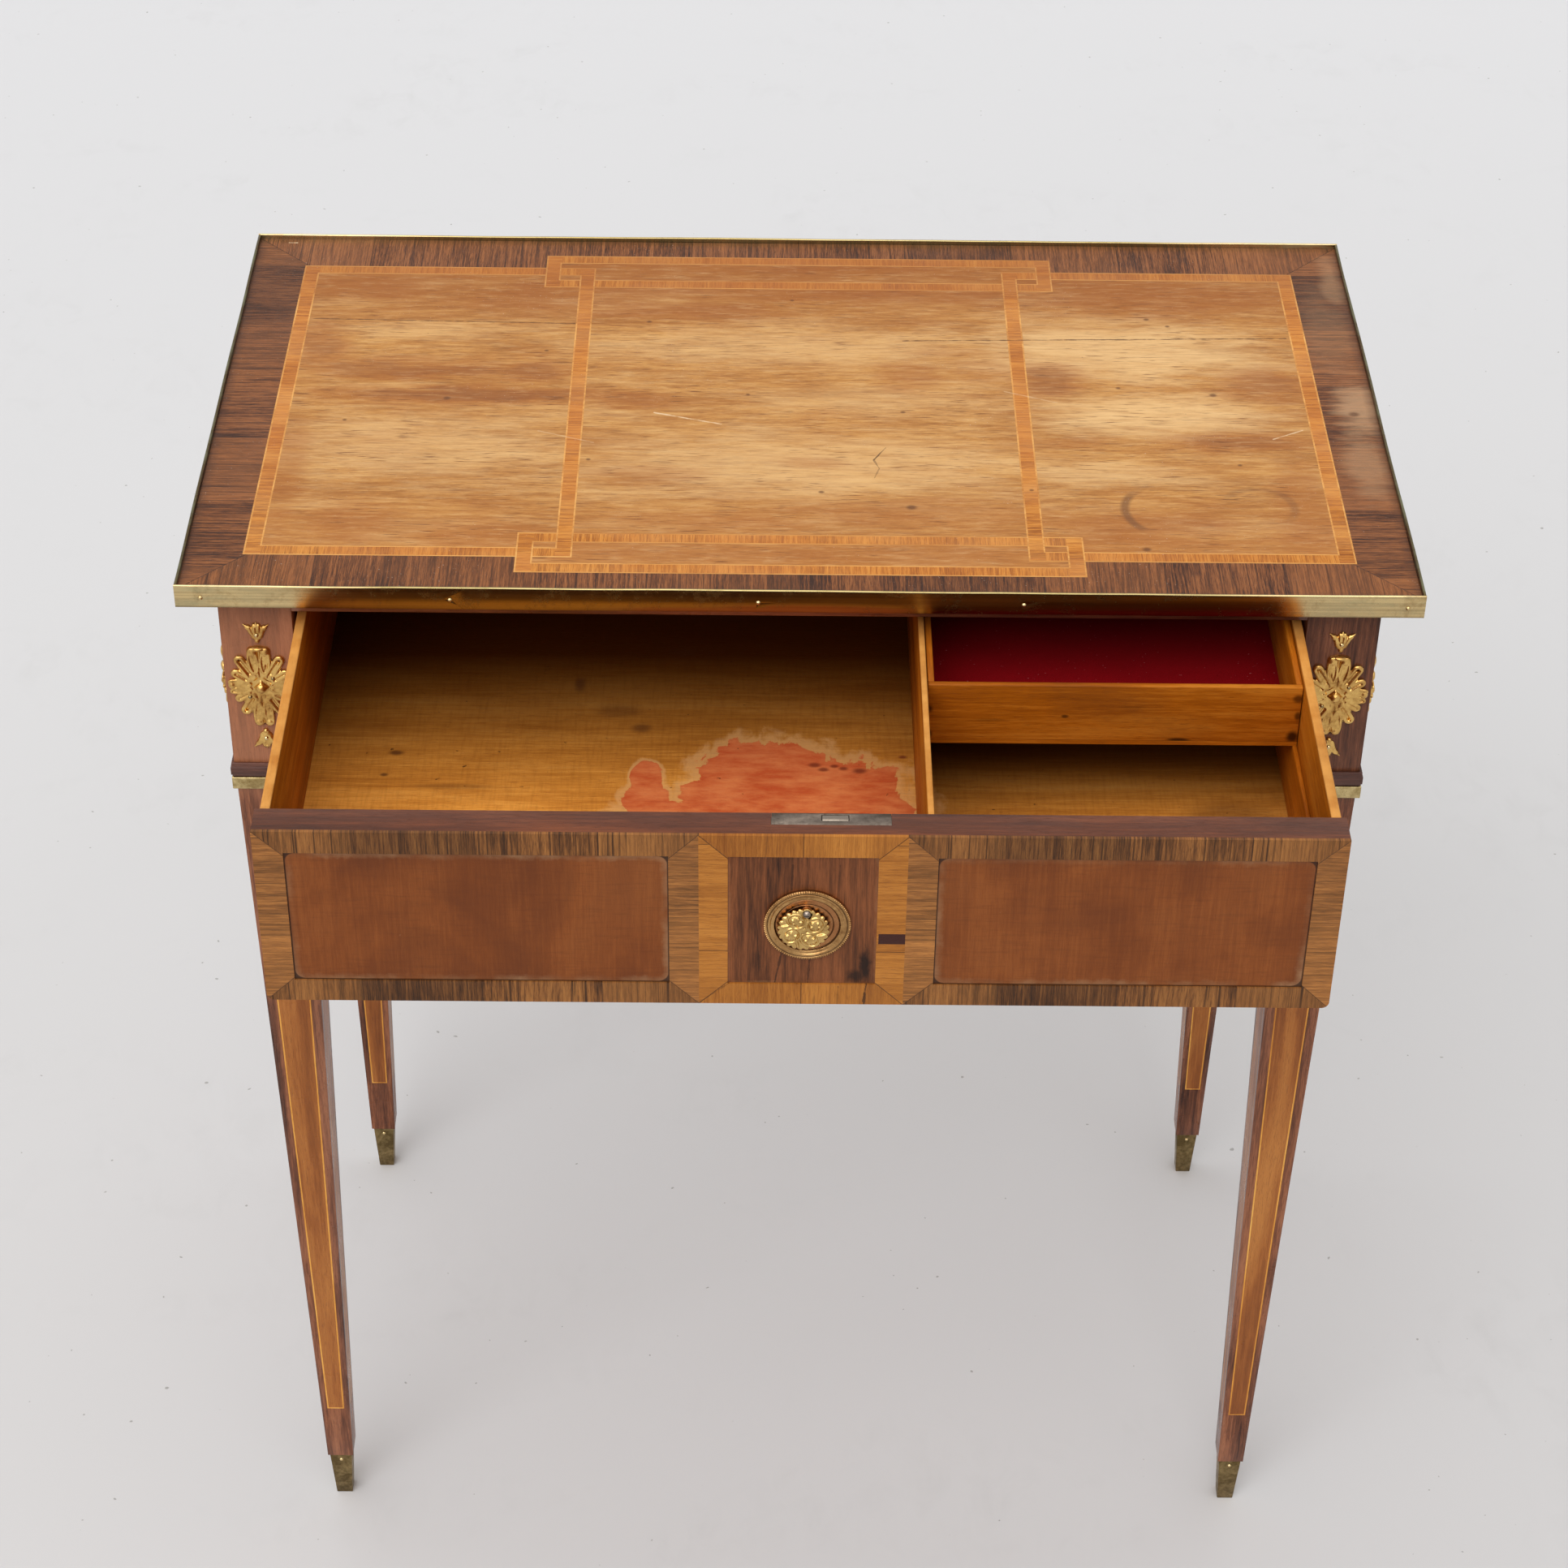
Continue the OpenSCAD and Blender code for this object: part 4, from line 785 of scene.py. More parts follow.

# Brass rim and its pins
# Four thin brass strips are pinned round the edge of the top and stand a little above it as a lip. They are
# wavy from age. The long strips are a little green at their ends and carry a painted dark reflection in their
# middle, and the end strips are painted darker as painted shade.
RIM_BRASS = dict(Bright=(216, 190, 138), Dull=(184, 156, 108), Grime=(96, 74, 46))
# The end strips' tones are painted shade
SIDE_BRASS_PAINTED_SHADE = dict(Bright=(104, 90, 58), Dull=(80, 68, 42), Grime=(48, 38, 24))
# A painted dark reflection in the middle of the long strips
RIM_PAINTED_REFLECTION = (112, 104, 58)
VERDIGRIS = (138, 150, 124)
# A strip is cut across at these steps, waves in and out by so much, and stands up as a lip of this height
SLICE = 0.012
WAVE = 0.0005
LIP = 0.006
RIM_ARRIS = 0.0003


def rim_material(name, shades):
    material, place = new_material(name)
    x, _, z = axes(place)
    low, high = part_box("rim_front")
    skin = use_group(old_metal, Place=place, Tarnish=0.34, Gloss=0.26, **shades)
    colour = blotched(skin["Colour"], RIM_BRASS["Grime"], 0.35, place, (4, 4, 700), 0.4, 0.7, 2, 0.5)
    # Painted dark reflection in the middle of a long strip
    colour = mixed(remap(abs(x), 0.22, 0.275, 0.6, 0), colour, RIM_PAINTED_REFLECTION)
    at_end = remap(abs(x), high.x - 0.09, high.x - 0.01)
    green = at_end * remap(patches(place, (50, 50, 260), 4, 0.65), 0.42, 0.62)
    colour = mixed(green * 0.35, colour, VERDIGRIS)
    colour = mixed(remap(z - low.z, 0, 0.0014, 0.6, 0), colour, RIM_BRASS["Grime"])
    return metallic(material, colour, skin["Height"], skin["Roughness"] + green * 0.25, 0.00001)


def sliced(piece, axis, low, high):
    """Cuts a long piece across at even steps, so that it can be bent."""
    way = ((1, 0, 0), (0, 1, 0))[axis]
    select_only(piece)
    with edit_mode():
        for i in range(1, int((high - low) / SLICE)):
            bpy.ops.mesh.select_all(action="SELECT")
            bpy.ops.mesh.bisect(plane_co=[share * (low + i * SLICE) for share in way], plane_no=way)


def wavy_rim(node, axis, material):
    """A strip that wanders in and out and up and down along its length, and stays put at its ends."""
    piece = eased(node, material, RIM_ARRIS)
    low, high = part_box(node)
    sliced(piece, axis, low[axis], high[axis])
    outward = 1 - axis
    for vertex in piece.data.vertices:
        along = vertex.co[axis]
        share = (along - low[axis]) / (high[axis] - low[axis])
        calm = min(1.0, 12.0 * share, 12.0 * (1.0 - share))
        raised = max(0.0, (vertex.co.z - high.z + LIP) / LIP)
        wander = noise.noise((along * 9.0, axis * 5.0 + high[outward] * 40.0, 0.0))
        rise = noise.noise((along * 14.0, 30.0 + high[outward] * 40.0, 0.0))
        vertex.co[outward] += wander * WAVE * calm * (0.5 + raised)
        vertex.co.z -= abs(rise) * WAVE * calm * raised


long_strip = rim_material("rim_brass", RIM_BRASS)
# The end strips carry painted shade
end_strip_painted_shade = rim_material("rim_end_brass_painted_shade", SIDE_BRASS_PAINTED_SHADE)
for name in ["rim_front", "rim_back"]:
    wavy_rim(name, 0, long_strip)
for name in ["rim_left", "rim_right"]:
    wavy_rim(name, 1, end_strip_painted_shade)
give("brass_pins", metal("pin_brass", RIM_BRASS, 0.4, 0.25))

# Gilt rosettes and bellflowers
# Cast and gilded bronze, chased by hand: an eight-lobed rosette with a bellflower above and below it on the
# outward faces of each block, held by small pins. The gilding is rubbed and dark in the hollows.
GILT = dict(Bright=(222, 180, 106), Dull=(180, 134, 72), Grime=(84, 55, 27))
# The middle of a rosette above the floor, and the blocks' faces and middles from the middle of the table
ROSETTE_Z = 0.6825
FACE_X, FACE_Y = 0.3169, 0.1782
MIDDLE_X, MIDDLE_Y = 0.297, 0.1583
# A bellflower's foot from the middle of its rosette, in millimetres
BELL_FOOT = 29.5
# How fine the wax of a large and of a small casting is
CAST_CELL = 0.00034
FINE_CELL = 0.00026
# A rosette is lumps of wax pressed together: middle across and up, half width and half height, how high it
# stands, and its turn in degrees, in millimetres. The one on the right is matched by another on the left.
TWIN_LUMPS = [
    (3.3, 20, 3.3, 6.6, 1.7, -4), (2, 11, 2, 8.6, 1.6, -7), (3.5, 23.4, 3.2, 3.2, 2.6, -14),
    (2.9, -20.6, 3, 6.2, 1.7, 3), (1.7, -11, 1.9, 8.2, 1.6, 6), (2.9, -24.2, 2.9, 2.9, 2.5, 0),
    (11.4, 2.2, 6.6, 2.7, 1.9, 8), (11, -2.2, 6.4, 2.6, 1.8, -9), (16.2, 1, 2.2, 2.9, 2.5, 0),
    (5.6, 5.8, 3.2, 3.2, 1.8, 0), (5.2, -5.8, 3, 3, 1.8, 0), (9.2, 9.6, 2.8, 2.8, 1.2, 0),
    (8.4, -9.2, 2.6, 2.6, 1.2, 0)]
MIDDLE_LUMPS = [(0, 25.7, 3.8, 1.5, 3, 0), (0, 15, 4.2, 11, 1.1, 0), (0, -15, 4, 11, 1.1, 0),
                (0, 0, 9, 8, 1.5, 0)]
# Rounded rims round the lobes: middle, half width and half height, turn and thickness
TWIN_RIMS = [(3.3, 17.6, 2.5, 8, -5, 0.85), (2.8, -17.8, 2.3, 7.6, 4, 0.8), (11.6, 2.4, 6, 1.9, 8, 0.75),
             (11.2, -2.3, 5.8, 1.8, -9, 0.75)]
# Each slanting petal is two fat fingers with a slit down them that spring from one root
FINGERS = [(7.9, 12.4, 3.4, 9.4, -30), (10.7, 6.8, 3, 6.4, -55), (7.3, -12.2, 3.3, 7.6, 30),
           (10.2, -6.6, 2.8, 5.6, 60)]
# Closer to the middle line than this, a point lies on it
ON_LINE = 0.000001
# Turns a casting that lies on its back to stand upright and face the front
FACE_UP = Matrix.Rotation(radians(90), 4, "X")


def started(primitive, place, turn=0, lean=0, **sizes):
    """A new primitive, alone in the selection. Its place is in millimetres, and its turn in degrees."""
    bpy.ops.object.select_all(action="DESELECT")
    primitive(location=[value * MM for value in place], rotation=(radians(lean), 0, radians(turn)), **sizes)
    return bpy.context.object


def pulled(piece, reach):
    """Draws the two halves of a new ball or ring apart along its length, so that its ends stay round."""
    for vertex in piece.data.vertices:
        if abs(vertex.co.y) > ON_LINE:
            vertex.co.y += reach if vertex.co.y > 0 else -reach


def lump(x, y, z, wide, tall, high, turn=0, pull=0):
    """A ball of wax stretched, turned and drawn out, in millimetres on the mount's own face."""
    ball = started(bpy.ops.mesh.primitive_uv_sphere_add, (x, y, z), turn, segments=28, ring_count=14,
                   radius=MM, scale=(wide, tall, high))
    pulled(ball, pull * MM / tall)
    return ball


def cord_loop(x, y, z, wide, tall, turn, thick, pull=0):
    """A raised line that runs round an oval, as the chaser leaves it."""
    piece = started(bpy.ops.mesh.primitive_circle_add, (x, y, z), turn, vertices=40, radius=MM)
    pulled(piece, pull * MM / tall)
    piece.scale = (wide, tall, 1)
    bpy.ops.object.transform_apply()
    bpy.ops.object.convert(target="CURVE")
    piece.data.bevel_depth = thick * MM
    piece.data.bevel_resolution = 2
    bpy.ops.object.convert(target="MESH")
    return bpy.context.object


def spike(x, y, z, thick, long, turn):
    """A pointed tip that lies on the face and points along its turn, 0 being up."""
    return started(bpy.ops.mesh.primitive_cone_add, (x, y, z), turn, -90, vertices=20, radius1=thick * MM,
                   radius2=0.2 * MM, depth=long * MM)


def run_together(parts, name):
    """Makes one piece of several, with its place in its mesh."""
    select_only(parts[0])
    for part in parts:
        part.select_set(True)
    bpy.ops.object.join()
    piece = bpy.context.object
    piece.name = name
    bpy.ops.object.transform_apply()
    return piece


def cast(name, parts, cell, keep):
    """Runs the parts together into one casting, flat at the back where it lies on the wood."""
    piece = run_together(parts, name)
    apply_modifier(piece, "REMESH", mode="VOXEL", voxel_size=cell)
    apply_modifier(piece, "SMOOTH", factor=0.5, iterations=2)
    with edit_mode():
        bpy.ops.mesh.bisect(plane_co=(0, 0, 0), plane_no=(0, 0, 1), use_fill=True, clear_inner=True)
    apply_modifier(piece, "DECIMATE", ratio=keep)
    bpy.ops.object.shade_smooth_by_angle(angle=radians(50))
    return piece


def placed_copy(model, name, matrix):
    """A copy with a mesh of its own, set in its place."""
    select_only(model)
    bpy.ops.object.duplicate()
    piece = bpy.context.object
    piece.name = name
    piece.matrix_world = matrix
    bpy.ops.object.transform_apply()
    return piece


def discard(model):
    select_only(model)
    bpy.ops.object.delete()


def mount_faces():
    """Each outward face of the four blocks, as the matrix that stands a casting on it."""
    for side in (-1, 1):
        for end in (-1, 1):
            for place, turn in [((side * MIDDLE_X, end * FACE_Y, ROSETTE_Z), 0 if end < 0 else 180),
                                ((side * FACE_X, end * MIDDLE_Y, ROSETTE_Z), side * 90)]:
                yield Matrix.Translation(place) @ Matrix.Rotation(radians(turn), 4, "Z") @ FACE_UP


def rosette_model():
    parts = [lump(x, y, 0.3, wide, tall, high, turn) for x, y, wide, tall, high, turn in MIDDLE_LUMPS]
    for side in (-1, 1):
        for x, y, wide, tall, high, turn in TWIN_LUMPS:
            parts.append(lump(side * x, y, 0.3, wide, tall, high, side * turn))
        for x, y, wide, tall, turn, thick in TWIN_RIMS:
            parts.append(cord_loop(side * x, y, 1.5, wide, tall, side * turn, thick))
        for x, y, wide, tall, turn in FINGERS:
            pull = tall - wide
            parts.append(lump(side * x, y, 0.2, wide - 0.4, wide - 0.4, 1.1, side * turn, pull))
            parts.append(cord_loop(side * x, y, 0.9, wide - 1.45, wide - 1.45, side * turn, 1.35, pull))
    parts.append(started(bpy.ops.mesh.primitive_cone_add, (0, 0, 1.6), vertices=4, radius1=5 * MM,
                         radius2=3.6 * MM, depth=3 * MM))
    parts.append(lump(0, 0, 2.6, 3, 3, 2.7))
    return cast("rosette_model", parts, CAST_CELL, 0.35)


def bellflower_model():
    parts = [lump(0, 1.2, 0.4, 1.5, 1.4, 1.4), lump(0, 5.4, 0.2, 3.9, 4, 1.6), lump(0, 8, 0.2, 4.6, 3, 1.3),
             lump(-3, 7.4, 0.3, 1.7, 4.6, 1.8, 22), lump(3, 7.4, 0.3, 1.7, 4.6, 1.8, -22),
             lump(-1, 8.6, 0.3, 1.5, 4.2, 1.9, 4), lump(1.2, 8.6, 0.3, 1.5, 4.2, 1.9, -4),
             spike(-5.6, 11, 0.7, 1.3, 4.4, 52), spike(5.6, 11, 0.7, 1.3, 4.4, -52),
             spike(0.1, 12.2, 0.7, 1.4, 2.8, 0), lump(-4.6, 9.6, 0.5, 1.3, 2.4, 1.4, 40),
             lump(4.6, 9.6, 0.5, 1.3, 2.4, 1.4, -40)]
    return cast("bellflower_model", parts, FINE_CELL, 0.4)


gilding = metal("old_gilding", GILT, 0.45, depth=0.0001)
rosette = rosette_model()
bellflower = bellflower_model()
for i, upright in enumerate(mount_faces()):
    settle(placed_copy(rosette, "rosette_%d" % (i + 1), upright), "rosettes", gilding)
    for half in (0, 1):
        foot = Matrix.Rotation(radians(180 * half), 4, "Z") @ Matrix.Translation((0, BELL_FOOT * MM, 0))
        flower = placed_copy(bellflower, "bellflower_%d" % (2 * i + half + 1), upright @ foot)
        settle(flower, "bellflowers", gilding)
discard(rosette)
discard(bellflower)

# Rosette pins
# Two small round-headed brass pins hold each rosette, one in an upper petal and one in the lower petal
# opposite. They are driven through the casting into the block.
ROSETTE_PINS = [(6.9, 6.4), (-6.6, -6.4)]
PIN_RADIUS = 1.15
pins = []
for upright in mount_faces():
    for x, y in ROSETTE_PINS:
        pin = lump(x, y, 2.2, PIN_RADIUS, PIN_RADIUS, 0.9)
        pin.matrix_world = upright @ pin.matrix_world
        pins.append(pin)
rosette_pins = run_together(pins, "rosette_pins")
bpy.ops.object.shade_smooth()
rosette_pins.data.materials.append(metal("mount_pin_brass", SHOE_BRASS, 0.4, 0.25))
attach(rosette_pins, body_of("rosettes"))

# Drawer box
# The sides, back, divider and bottom are thin boards of warm yellow-brown wood, worn pale along their upper
# edges. A red spill has dried on the front of the bottom, to the left of the divider. The bottom is painted
# darker towards its back as painted shade, and carries a painted shadow under the tray.
DRAWER_SHADES = dict(Pale=(206, 130, 42), Middle=(176, 96, 17), Deep=(122, 58, 6))
BOTTOM_SHADES = dict(Pale=(248, 178, 88), Middle=(230, 152, 62), Deep=(166, 94, 28))
EDGE_RUBBED = (222, 158, 82)
BOARD_DIRT = (112, 62, 26)
BOARD_MARK = (58, 26, 6)
BOTTOM_CLOUD = (146, 80, 26)
BOTTOM_SAWN = (150, 84, 28)
# Painted shade towards the back of the bottom, and painted shadow under the tray
BOTTOM_BACK_PAINTED_SHADE = (72, 29, 3)
BOTTOM_TRAY_PAINTED_SHADOW = (70, 32, 6)
BOTTOM_MARK = (84, 46, 24)
BOTTOM_SPECK = (60, 32, 16)
SPILL = (212, 96, 56)
SPILL_DEEP = (186, 68, 34)
SPILL_HALO = (220, 168, 110)
SPILL_DROP = (110, 44, 28)
# Marks on the bottom as on the top, and drops as their middle and radius
SPILL_MARKS = [(6, -252, 78, 74, 1), (-18, -216, 50, 46, 1), (-83, -240, 18, 28, 1), (-84, -216, 12, 18, 1),
               (-50, -254, 70, 26, 1), (-40, -236, 34, 30, 1)]
SPILL_DROPS = [(9, -204, 2.6), (14, -208, 2.2), (20, -205, 1.8), (25, -207, 2), (34, -209, 3), (58, -196, 2)]
BOTTOM_MARKS = [
    (-124, -130, 4, 9, 0.7), (-101, -155, 16, 8, 0.4), (-88, -171, 7, 5, 0.6), (-223, -196, 5, 3, 0.8),
    (-66, -98, 10, 4, 0.4), (-190, -226, 30, 3, 0.35), (-228, -216, 3, 2, 0.8), (-40, -60, 30, 10, 0.4),
    (110, -300, 20, 4, 0.3), (210, -290, 24, 5, 0.4), (236, -250, 30, 20, 0.5)]
BOARD_ARRIS = 0.0006


def place_on_front(place):
    """The front's width and height as a flat place, so that a mark can be drawn on it."""
    x, _, z = axes(place)
    return together(x, z)


def drawer_board(name, axis, shift, marks=()):
    """A drawer board with its worn upper edge, and dark marks on its front where it has any."""
    material, place = new_material(name)
    colour, height = sawn(grain_along(place, axis, shift), DRAWER_SHADES, 460, 0.8, 0.8, 0.45)
    near_top = remap(axes(place)[2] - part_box("drawer_side_left")[1].z, -0.0016, -0.0002)
    worn = near_top * remap(patches(place, 60, 3, 0.6), 0.3, 0.6, 0.4, 0.9)
    colour = mixed(worn, colour, EDGE_RUBBED)
    colour = blotched(colour, BOARD_DIRT, 0.4, place, (12, 12, 20), 0.5, 0.75, 4)
    if marks:
        colour = mixed(spots(place_on_front(place), marks, Ragged=0.7), colour, BOARD_MARK)
    return polished(material, colour, height, 0.42, 0.02, shine=0.08)


def bottom_material():
    """The painted shade and shadow, the spill and the dark marks lie on the board's upper face only."""
    material, place = new_material("drawer_bottom_board")
    x, y, z = axes(place)
    colour, height = sawn(grain_along(place, "X", (0.2, 0.9, 0.4)), BOTTOM_SHADES, 480, 0.7, 0.6, 0.5)
    place = place * FLAT
    colour = blotched(colour, BOTTOM_CLOUD, 0.35, place, (7, 16, 1), 0.48, 0.72, 4, 0.6, 0.4)
    clean = blotched(colour, BOTTOM_SAWN, 0.25, place, (520, 50, 1), 0.45, 0.7)
    # Painted shade: the bottom darkens towards its back
    colour = mixed(remap(y, -0.1, -0.255, 0.97, 0), clean, BOTTOM_BACK_PAINTED_SHADE)
    # Painted shadow under the tray
    tray_painted_shadow = (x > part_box("drawer_divider")[1].x) * remap(y, -0.19, -0.26, 0.85, 0.15)
    colour = mixed(tray_painted_shadow, colour, BOTTOM_TRAY_PAINTED_SHADOW)
    colour = mixed(spots(place, BOTTOM_MARKS, Ragged=0.8), colour, BOTTOM_MARK)
    wet = spots(place, SPILL_MARKS, Lumps=(70, 46, 1), Ragged=0.8)
    colour = mixed(remap(wet, 0.12, 0.3, 0, 0.45), colour, SPILL_HALO)
    thin = patches(place, (34, 90, 1), 5, 0.66)
    dye = mixed(remap(thin, 0.62, 0.4), SPILL, SPILL_DEEP)
    dye = mixed(remap(wet, 0.47, 0.6, 0.5, 0), dye, SPILL_DEEP)
    colour = mixed(remap(wet, 0.42, 0.47) * remap(thin, 0.3, 0.7, 0.95, 0.55), colour, dye)
    drops = [(across, up, reach * 1.6, reach, 0.8) for across, up, reach in SPILL_DROPS]
    colour = mixed(spots(place, drops, Ragged=0.5), colour, SPILL_DROP)
    colour = blotched(colour, BOTTOM_SPECK, 0.8, place, (220, 220, 1), 0.72, 0.78, 2, 0.5)
    on_upper_face = z - middle_and_half("drawer_bottom")[0].z > 0
    return polished(material, mixed(on_upper_face, clean, colour), height, coat=0.02, shine=0.08)


side_wood = drawer_board("drawer_side_wood", "Y", (0.1, 0.2, 0.3))
for name in ["drawer_side_left", "drawer_side_right", "drawer_divider", "tray_ledges"]:
    eased(name, side_wood, BOARD_ARRIS)
eased("drawer_back", drawer_board("drawer_back_wood", "X", (0.6, 0.1, 0.2)), BOARD_ARRIS)
give("drawer_bottom", bottom_material())

# Drawer front
# A thick board carries two plain reddish panels, framed by mitred borders of striped kingwood, and between
# them a light frame round a dark panel. The panels' edges and corners are worn pale and round, and the panels
# darken towards their edges as painted shade.
BOARD_EDGE = dict(Pale=(136, 74, 40), Middle=(106, 54, 28), Deep=(62, 29, 14))
LIGHT_FRAME = dict(Pale=(210, 140, 62), Middle=(182, 114, 44), Deep=(132, 74, 26))
DARK_PANEL = dict(Pale=(150, 88, 50), Middle=(116, 66, 36), Deep=(50, 27, 16))
BORDER_DULL = (122, 76, 40)
PANEL_CLOUD = (158, 94, 46)
PANEL_SHADOW = (98, 47, 18)
# Painted shade along the panels' edges
PANEL_EDGE_PAINTED_SHADE = (88, 46, 24)
PANEL_SAWN = (96, 48, 22)
PANEL_DIRT = (34, 20, 14)
PANEL_CRACK = (40, 22, 14)
REPAIR_WOOD = (66, 34, 28)
WORN_EDGE = (164, 122, 86)
# Marks and lines across and up the front, in millimetres from the table's middle and from the floor
PANEL_GRIME = [(34, 646, 4, 13, 0.95), (30, 639, 6, 5, 0.8), (-22, 648, 4, 8, 0.35)]
PANEL_CRACKS = [(-9, 655, -12.5, 634, 0.7), (5.5, 651, 4.5, 634, 0.6), (-4, 712, -4.4, 696, 0.5),
                (20, 712, 19, 690, 0.4)]
FRAME_CRACKS = [(34, 620, 35, 634, 1), (33.6, 622, 34.4, 631, 1), (20, 620, 20.5, 632, 0.4),
                (-18, 718, -17, 731, 0.3), (8, 620, 8, 628, 0.4), (-36, 634, -51, 621, 0.5)]
# A dark piece let into the light frame: its middle and its reach
REPAIR = (47.5, 664.5, 7, 3.4)
SIDE_BORDER = 0.0153
TOP_BORDER = 0.0136
PANEL_CORNER = 0.006


def unit_axes(place):
    """For the two borders side by side: how far a point is from the middle of its own, and half its size."""
    gap_low, gap_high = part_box("centre_frame")
    low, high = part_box("drawer_crossbanding")
    x, _, z = axes(place)
    on_right = x > 0
    middle = chosen(on_right, (low.x + gap_low.x) / 2, (gap_high.x + high.x) / 2)
    half = chosen(on_right, (gap_low.x - low.x) / 2, (high.x - gap_high.x) / 2)
    return x - middle, half, z - (low.z + high.z) / 2, (high.z - low.z) / 2


def front_border_material():
    material, place = new_material("front_kingwood")
    across, half, up, half_up = unit_axes(place)
    colour, height, _ = cross_laid(across, up, half, half_up, KINGWOOD, 0.062, 620, 2, 5, 0.4, 0.85)
    colour = blotched(colour, BORDER_DULL, 0.25, place, 18, 0.4, 0.7)
    strip = use_group(mitre, Across=across, Up=up, Half_width=half, Half_height=half_up)["Side strip"]
    colour = mixed(chosen(strip, 0.3, 0), colour, KINGWOOD["Deep"])
    colour = mixed(chosen(strip, 0, 0.2), colour, KINGWOOD["Pale"])
    return polished(material, colour, height, 0.38)


def rounded_edge(across, up, half_across, half_up):
    """How far a point lies inside a panel whose corners are worn round."""
    over_x = maths("MAXIMUM", abs(across) - (half_across - PANEL_CORNER), 0)
    over_z = maths("MAXIMUM", abs(up) - (half_up - PANEL_CORNER), 0)
    return PANEL_CORNER - length(together(over_x, over_z))


def drawer_panel_material():
    material, place = new_material("front_panel_veneer")
    colour, height = sawn(grain_along(place, "Z", (0.2, 0.1, 0.5)), PANEL_SHADES, 520, 0.6, 0.35, 0.25)
    across, half, up, half_up = unit_axes(place)
    edge = rounded_edge(across, up, half - SIDE_BORDER, half_up - TOP_BORDER)
    wander = edge + (patches(place, 130, 5, 0.68) - 0.5) * 0.008
    broad = patches(place, (11, 11, 9), 4, 0.6, 0.4)
    colour = mixed(remap(broad, 0.48, 0.72, 0, 0.5), colour, PANEL_CLOUD)
    colour = mixed(remap(broad, 0.52, 0.34, 0, 0.62), colour, PANEL_SHADOW)
    # Painted shade: darker towards the panel's edge
    colour = mixed(remap(edge, 0.003, 0.02, 0.3, 0), colour, PANEL_EDGE_PAINTED_SHADE)
    here_and_there = remap(patches(place, 26, 3, 0.6), 0.42, 0.62, 0.15, 1)
    colour = mixed(remap(wander, 0.0002, 0.0044, 0.8, 0) * here_and_there, colour, WORN_EDGE)
    colour = mixed(remap(edge, 0.0004, 0.0009, 0.85, 0), colour, GLUE_LINE)
    colour = blotched(colour, PANEL_SAWN, 0.25, place, (60, 60, 620), 0.5, 0.7)
    colour = blotched(colour, WORN_EDGE, 0.5, place, (260, 260, 150), 0.755, 0.79, 2, 0.5)
    return polished(material, colour, height)


def light_frame_material():
    material, place = new_material("light_frame_wood")
    middle, half = middle_and_half("centre_frame")
    x, _, z = axes(place)
    colour, height, _ = cross_laid(x - middle.x, z - middle.z, half.x, half.z, LIGHT_FRAME, 0.07, 560, 0.9, 2,
                                   0.2, 0.25)
    repair_x, repair_z, reach_x, reach_z = [value * MM for value in REPAIR]
    repair = (abs(x - repair_x) < reach_x) * (abs(z - repair_z) < reach_z)
    colour = mixed(repair, colour, REPAIR_WOOD)
    colour = mixed(lines(place_on_front(place), FRAME_CRACKS, 0.0004) * 0.8, colour, GLUE_LINE)
    return polished(material, colour, height)


def centre_panel_material():
    material, place = new_material("centre_rosewood")
    colour, height = sawn(grain_along(place, "Z", (0.2, 0.1, 0.5)), DARK_PANEL, 400, 1.5, 1.1, 0.3)
    middle, half = middle_and_half("centre_panel")
    x, _, z = axes(place)
    edge = maths("MINIMUM", half.x - abs(x - middle.x), half.z - abs(z - middle.z))
    edge = edge + (patches(place, 150, 4, 0.65) - 0.5) * 0.004
    colour = mixed(remap(edge, 0, 0.0014, 0.35, 0), colour, WORN_EDGE)
    colour = blotched(colour, DARK_PANEL["Pale"], 0.4, place, (14, 14, 9), 0.45, 0.75)
    on_front = place_on_front(place)
    colour = mixed(spots(on_front, PANEL_GRIME, Lumps=(220, 120, 1), Ragged=1.4), colour, PANEL_DIRT)
    colour = mixed(lines(on_front, PANEL_CRACKS), colour, PANEL_CRACK)
    return polished(material, colour, height)


eased("drawer_front", plain_wood("front_board_rosewood", "X", BOARD_EDGE, (0.5, 0.3, 0.1), 0.32, 0.25, 200),
      BOARD_ARRIS)
give("drawer_crossbanding", front_border_material())
give("drawer_panels", drawer_panel_material())
give("centre_frame", light_frame_material())
give("centre_panel", centre_panel_material())

# Lock
# An iron lock is let into the back and the upper edge of the drawer front. Its top plate is filed bright and
# has gone grey, four small screws hold it, and its bolt is down.
STEEL = dict(Bright=(140, 127, 115), Dull=(104, 93, 83), Grime=(50, 40, 33))
BOLT_STEEL = dict(Bright=(146, 134, 121), Dull=(108, 99, 89), Grime=(64, 54, 45))
CASE_ARRIS = 0.0003
BOLT_ARRIS = 0.0004
eased("lock_case", metal("lock_iron", STEEL, 0.55, 0.36, 0.0001), CASE_ARRIS)
give("lock_screws", metal("lock_screw_iron", STEEL, 0.4))
eased("lock_bolt", metal("bolt_iron", BOLT_STEEL, 0.3, 0.28), BOLT_ARRIS)

# Escutcheon and keyhole cover
# A round plate of gilt brass with a milled edge and three turned grooves, and over its keyhole a small cover,
# cast as a whorl of four leaves, that swings on a screw.
ESCUTCHEON_SHADES = dict(Bright=(188, 146, 94), Dull=(146, 106, 64), Grime=(74, 48, 28))
COPPER_FLOOR = (162, 104, 68)
COVER_GILT = dict(Bright=(206, 170, 106), Dull=(164, 128, 74), Grime=(70, 50, 25))
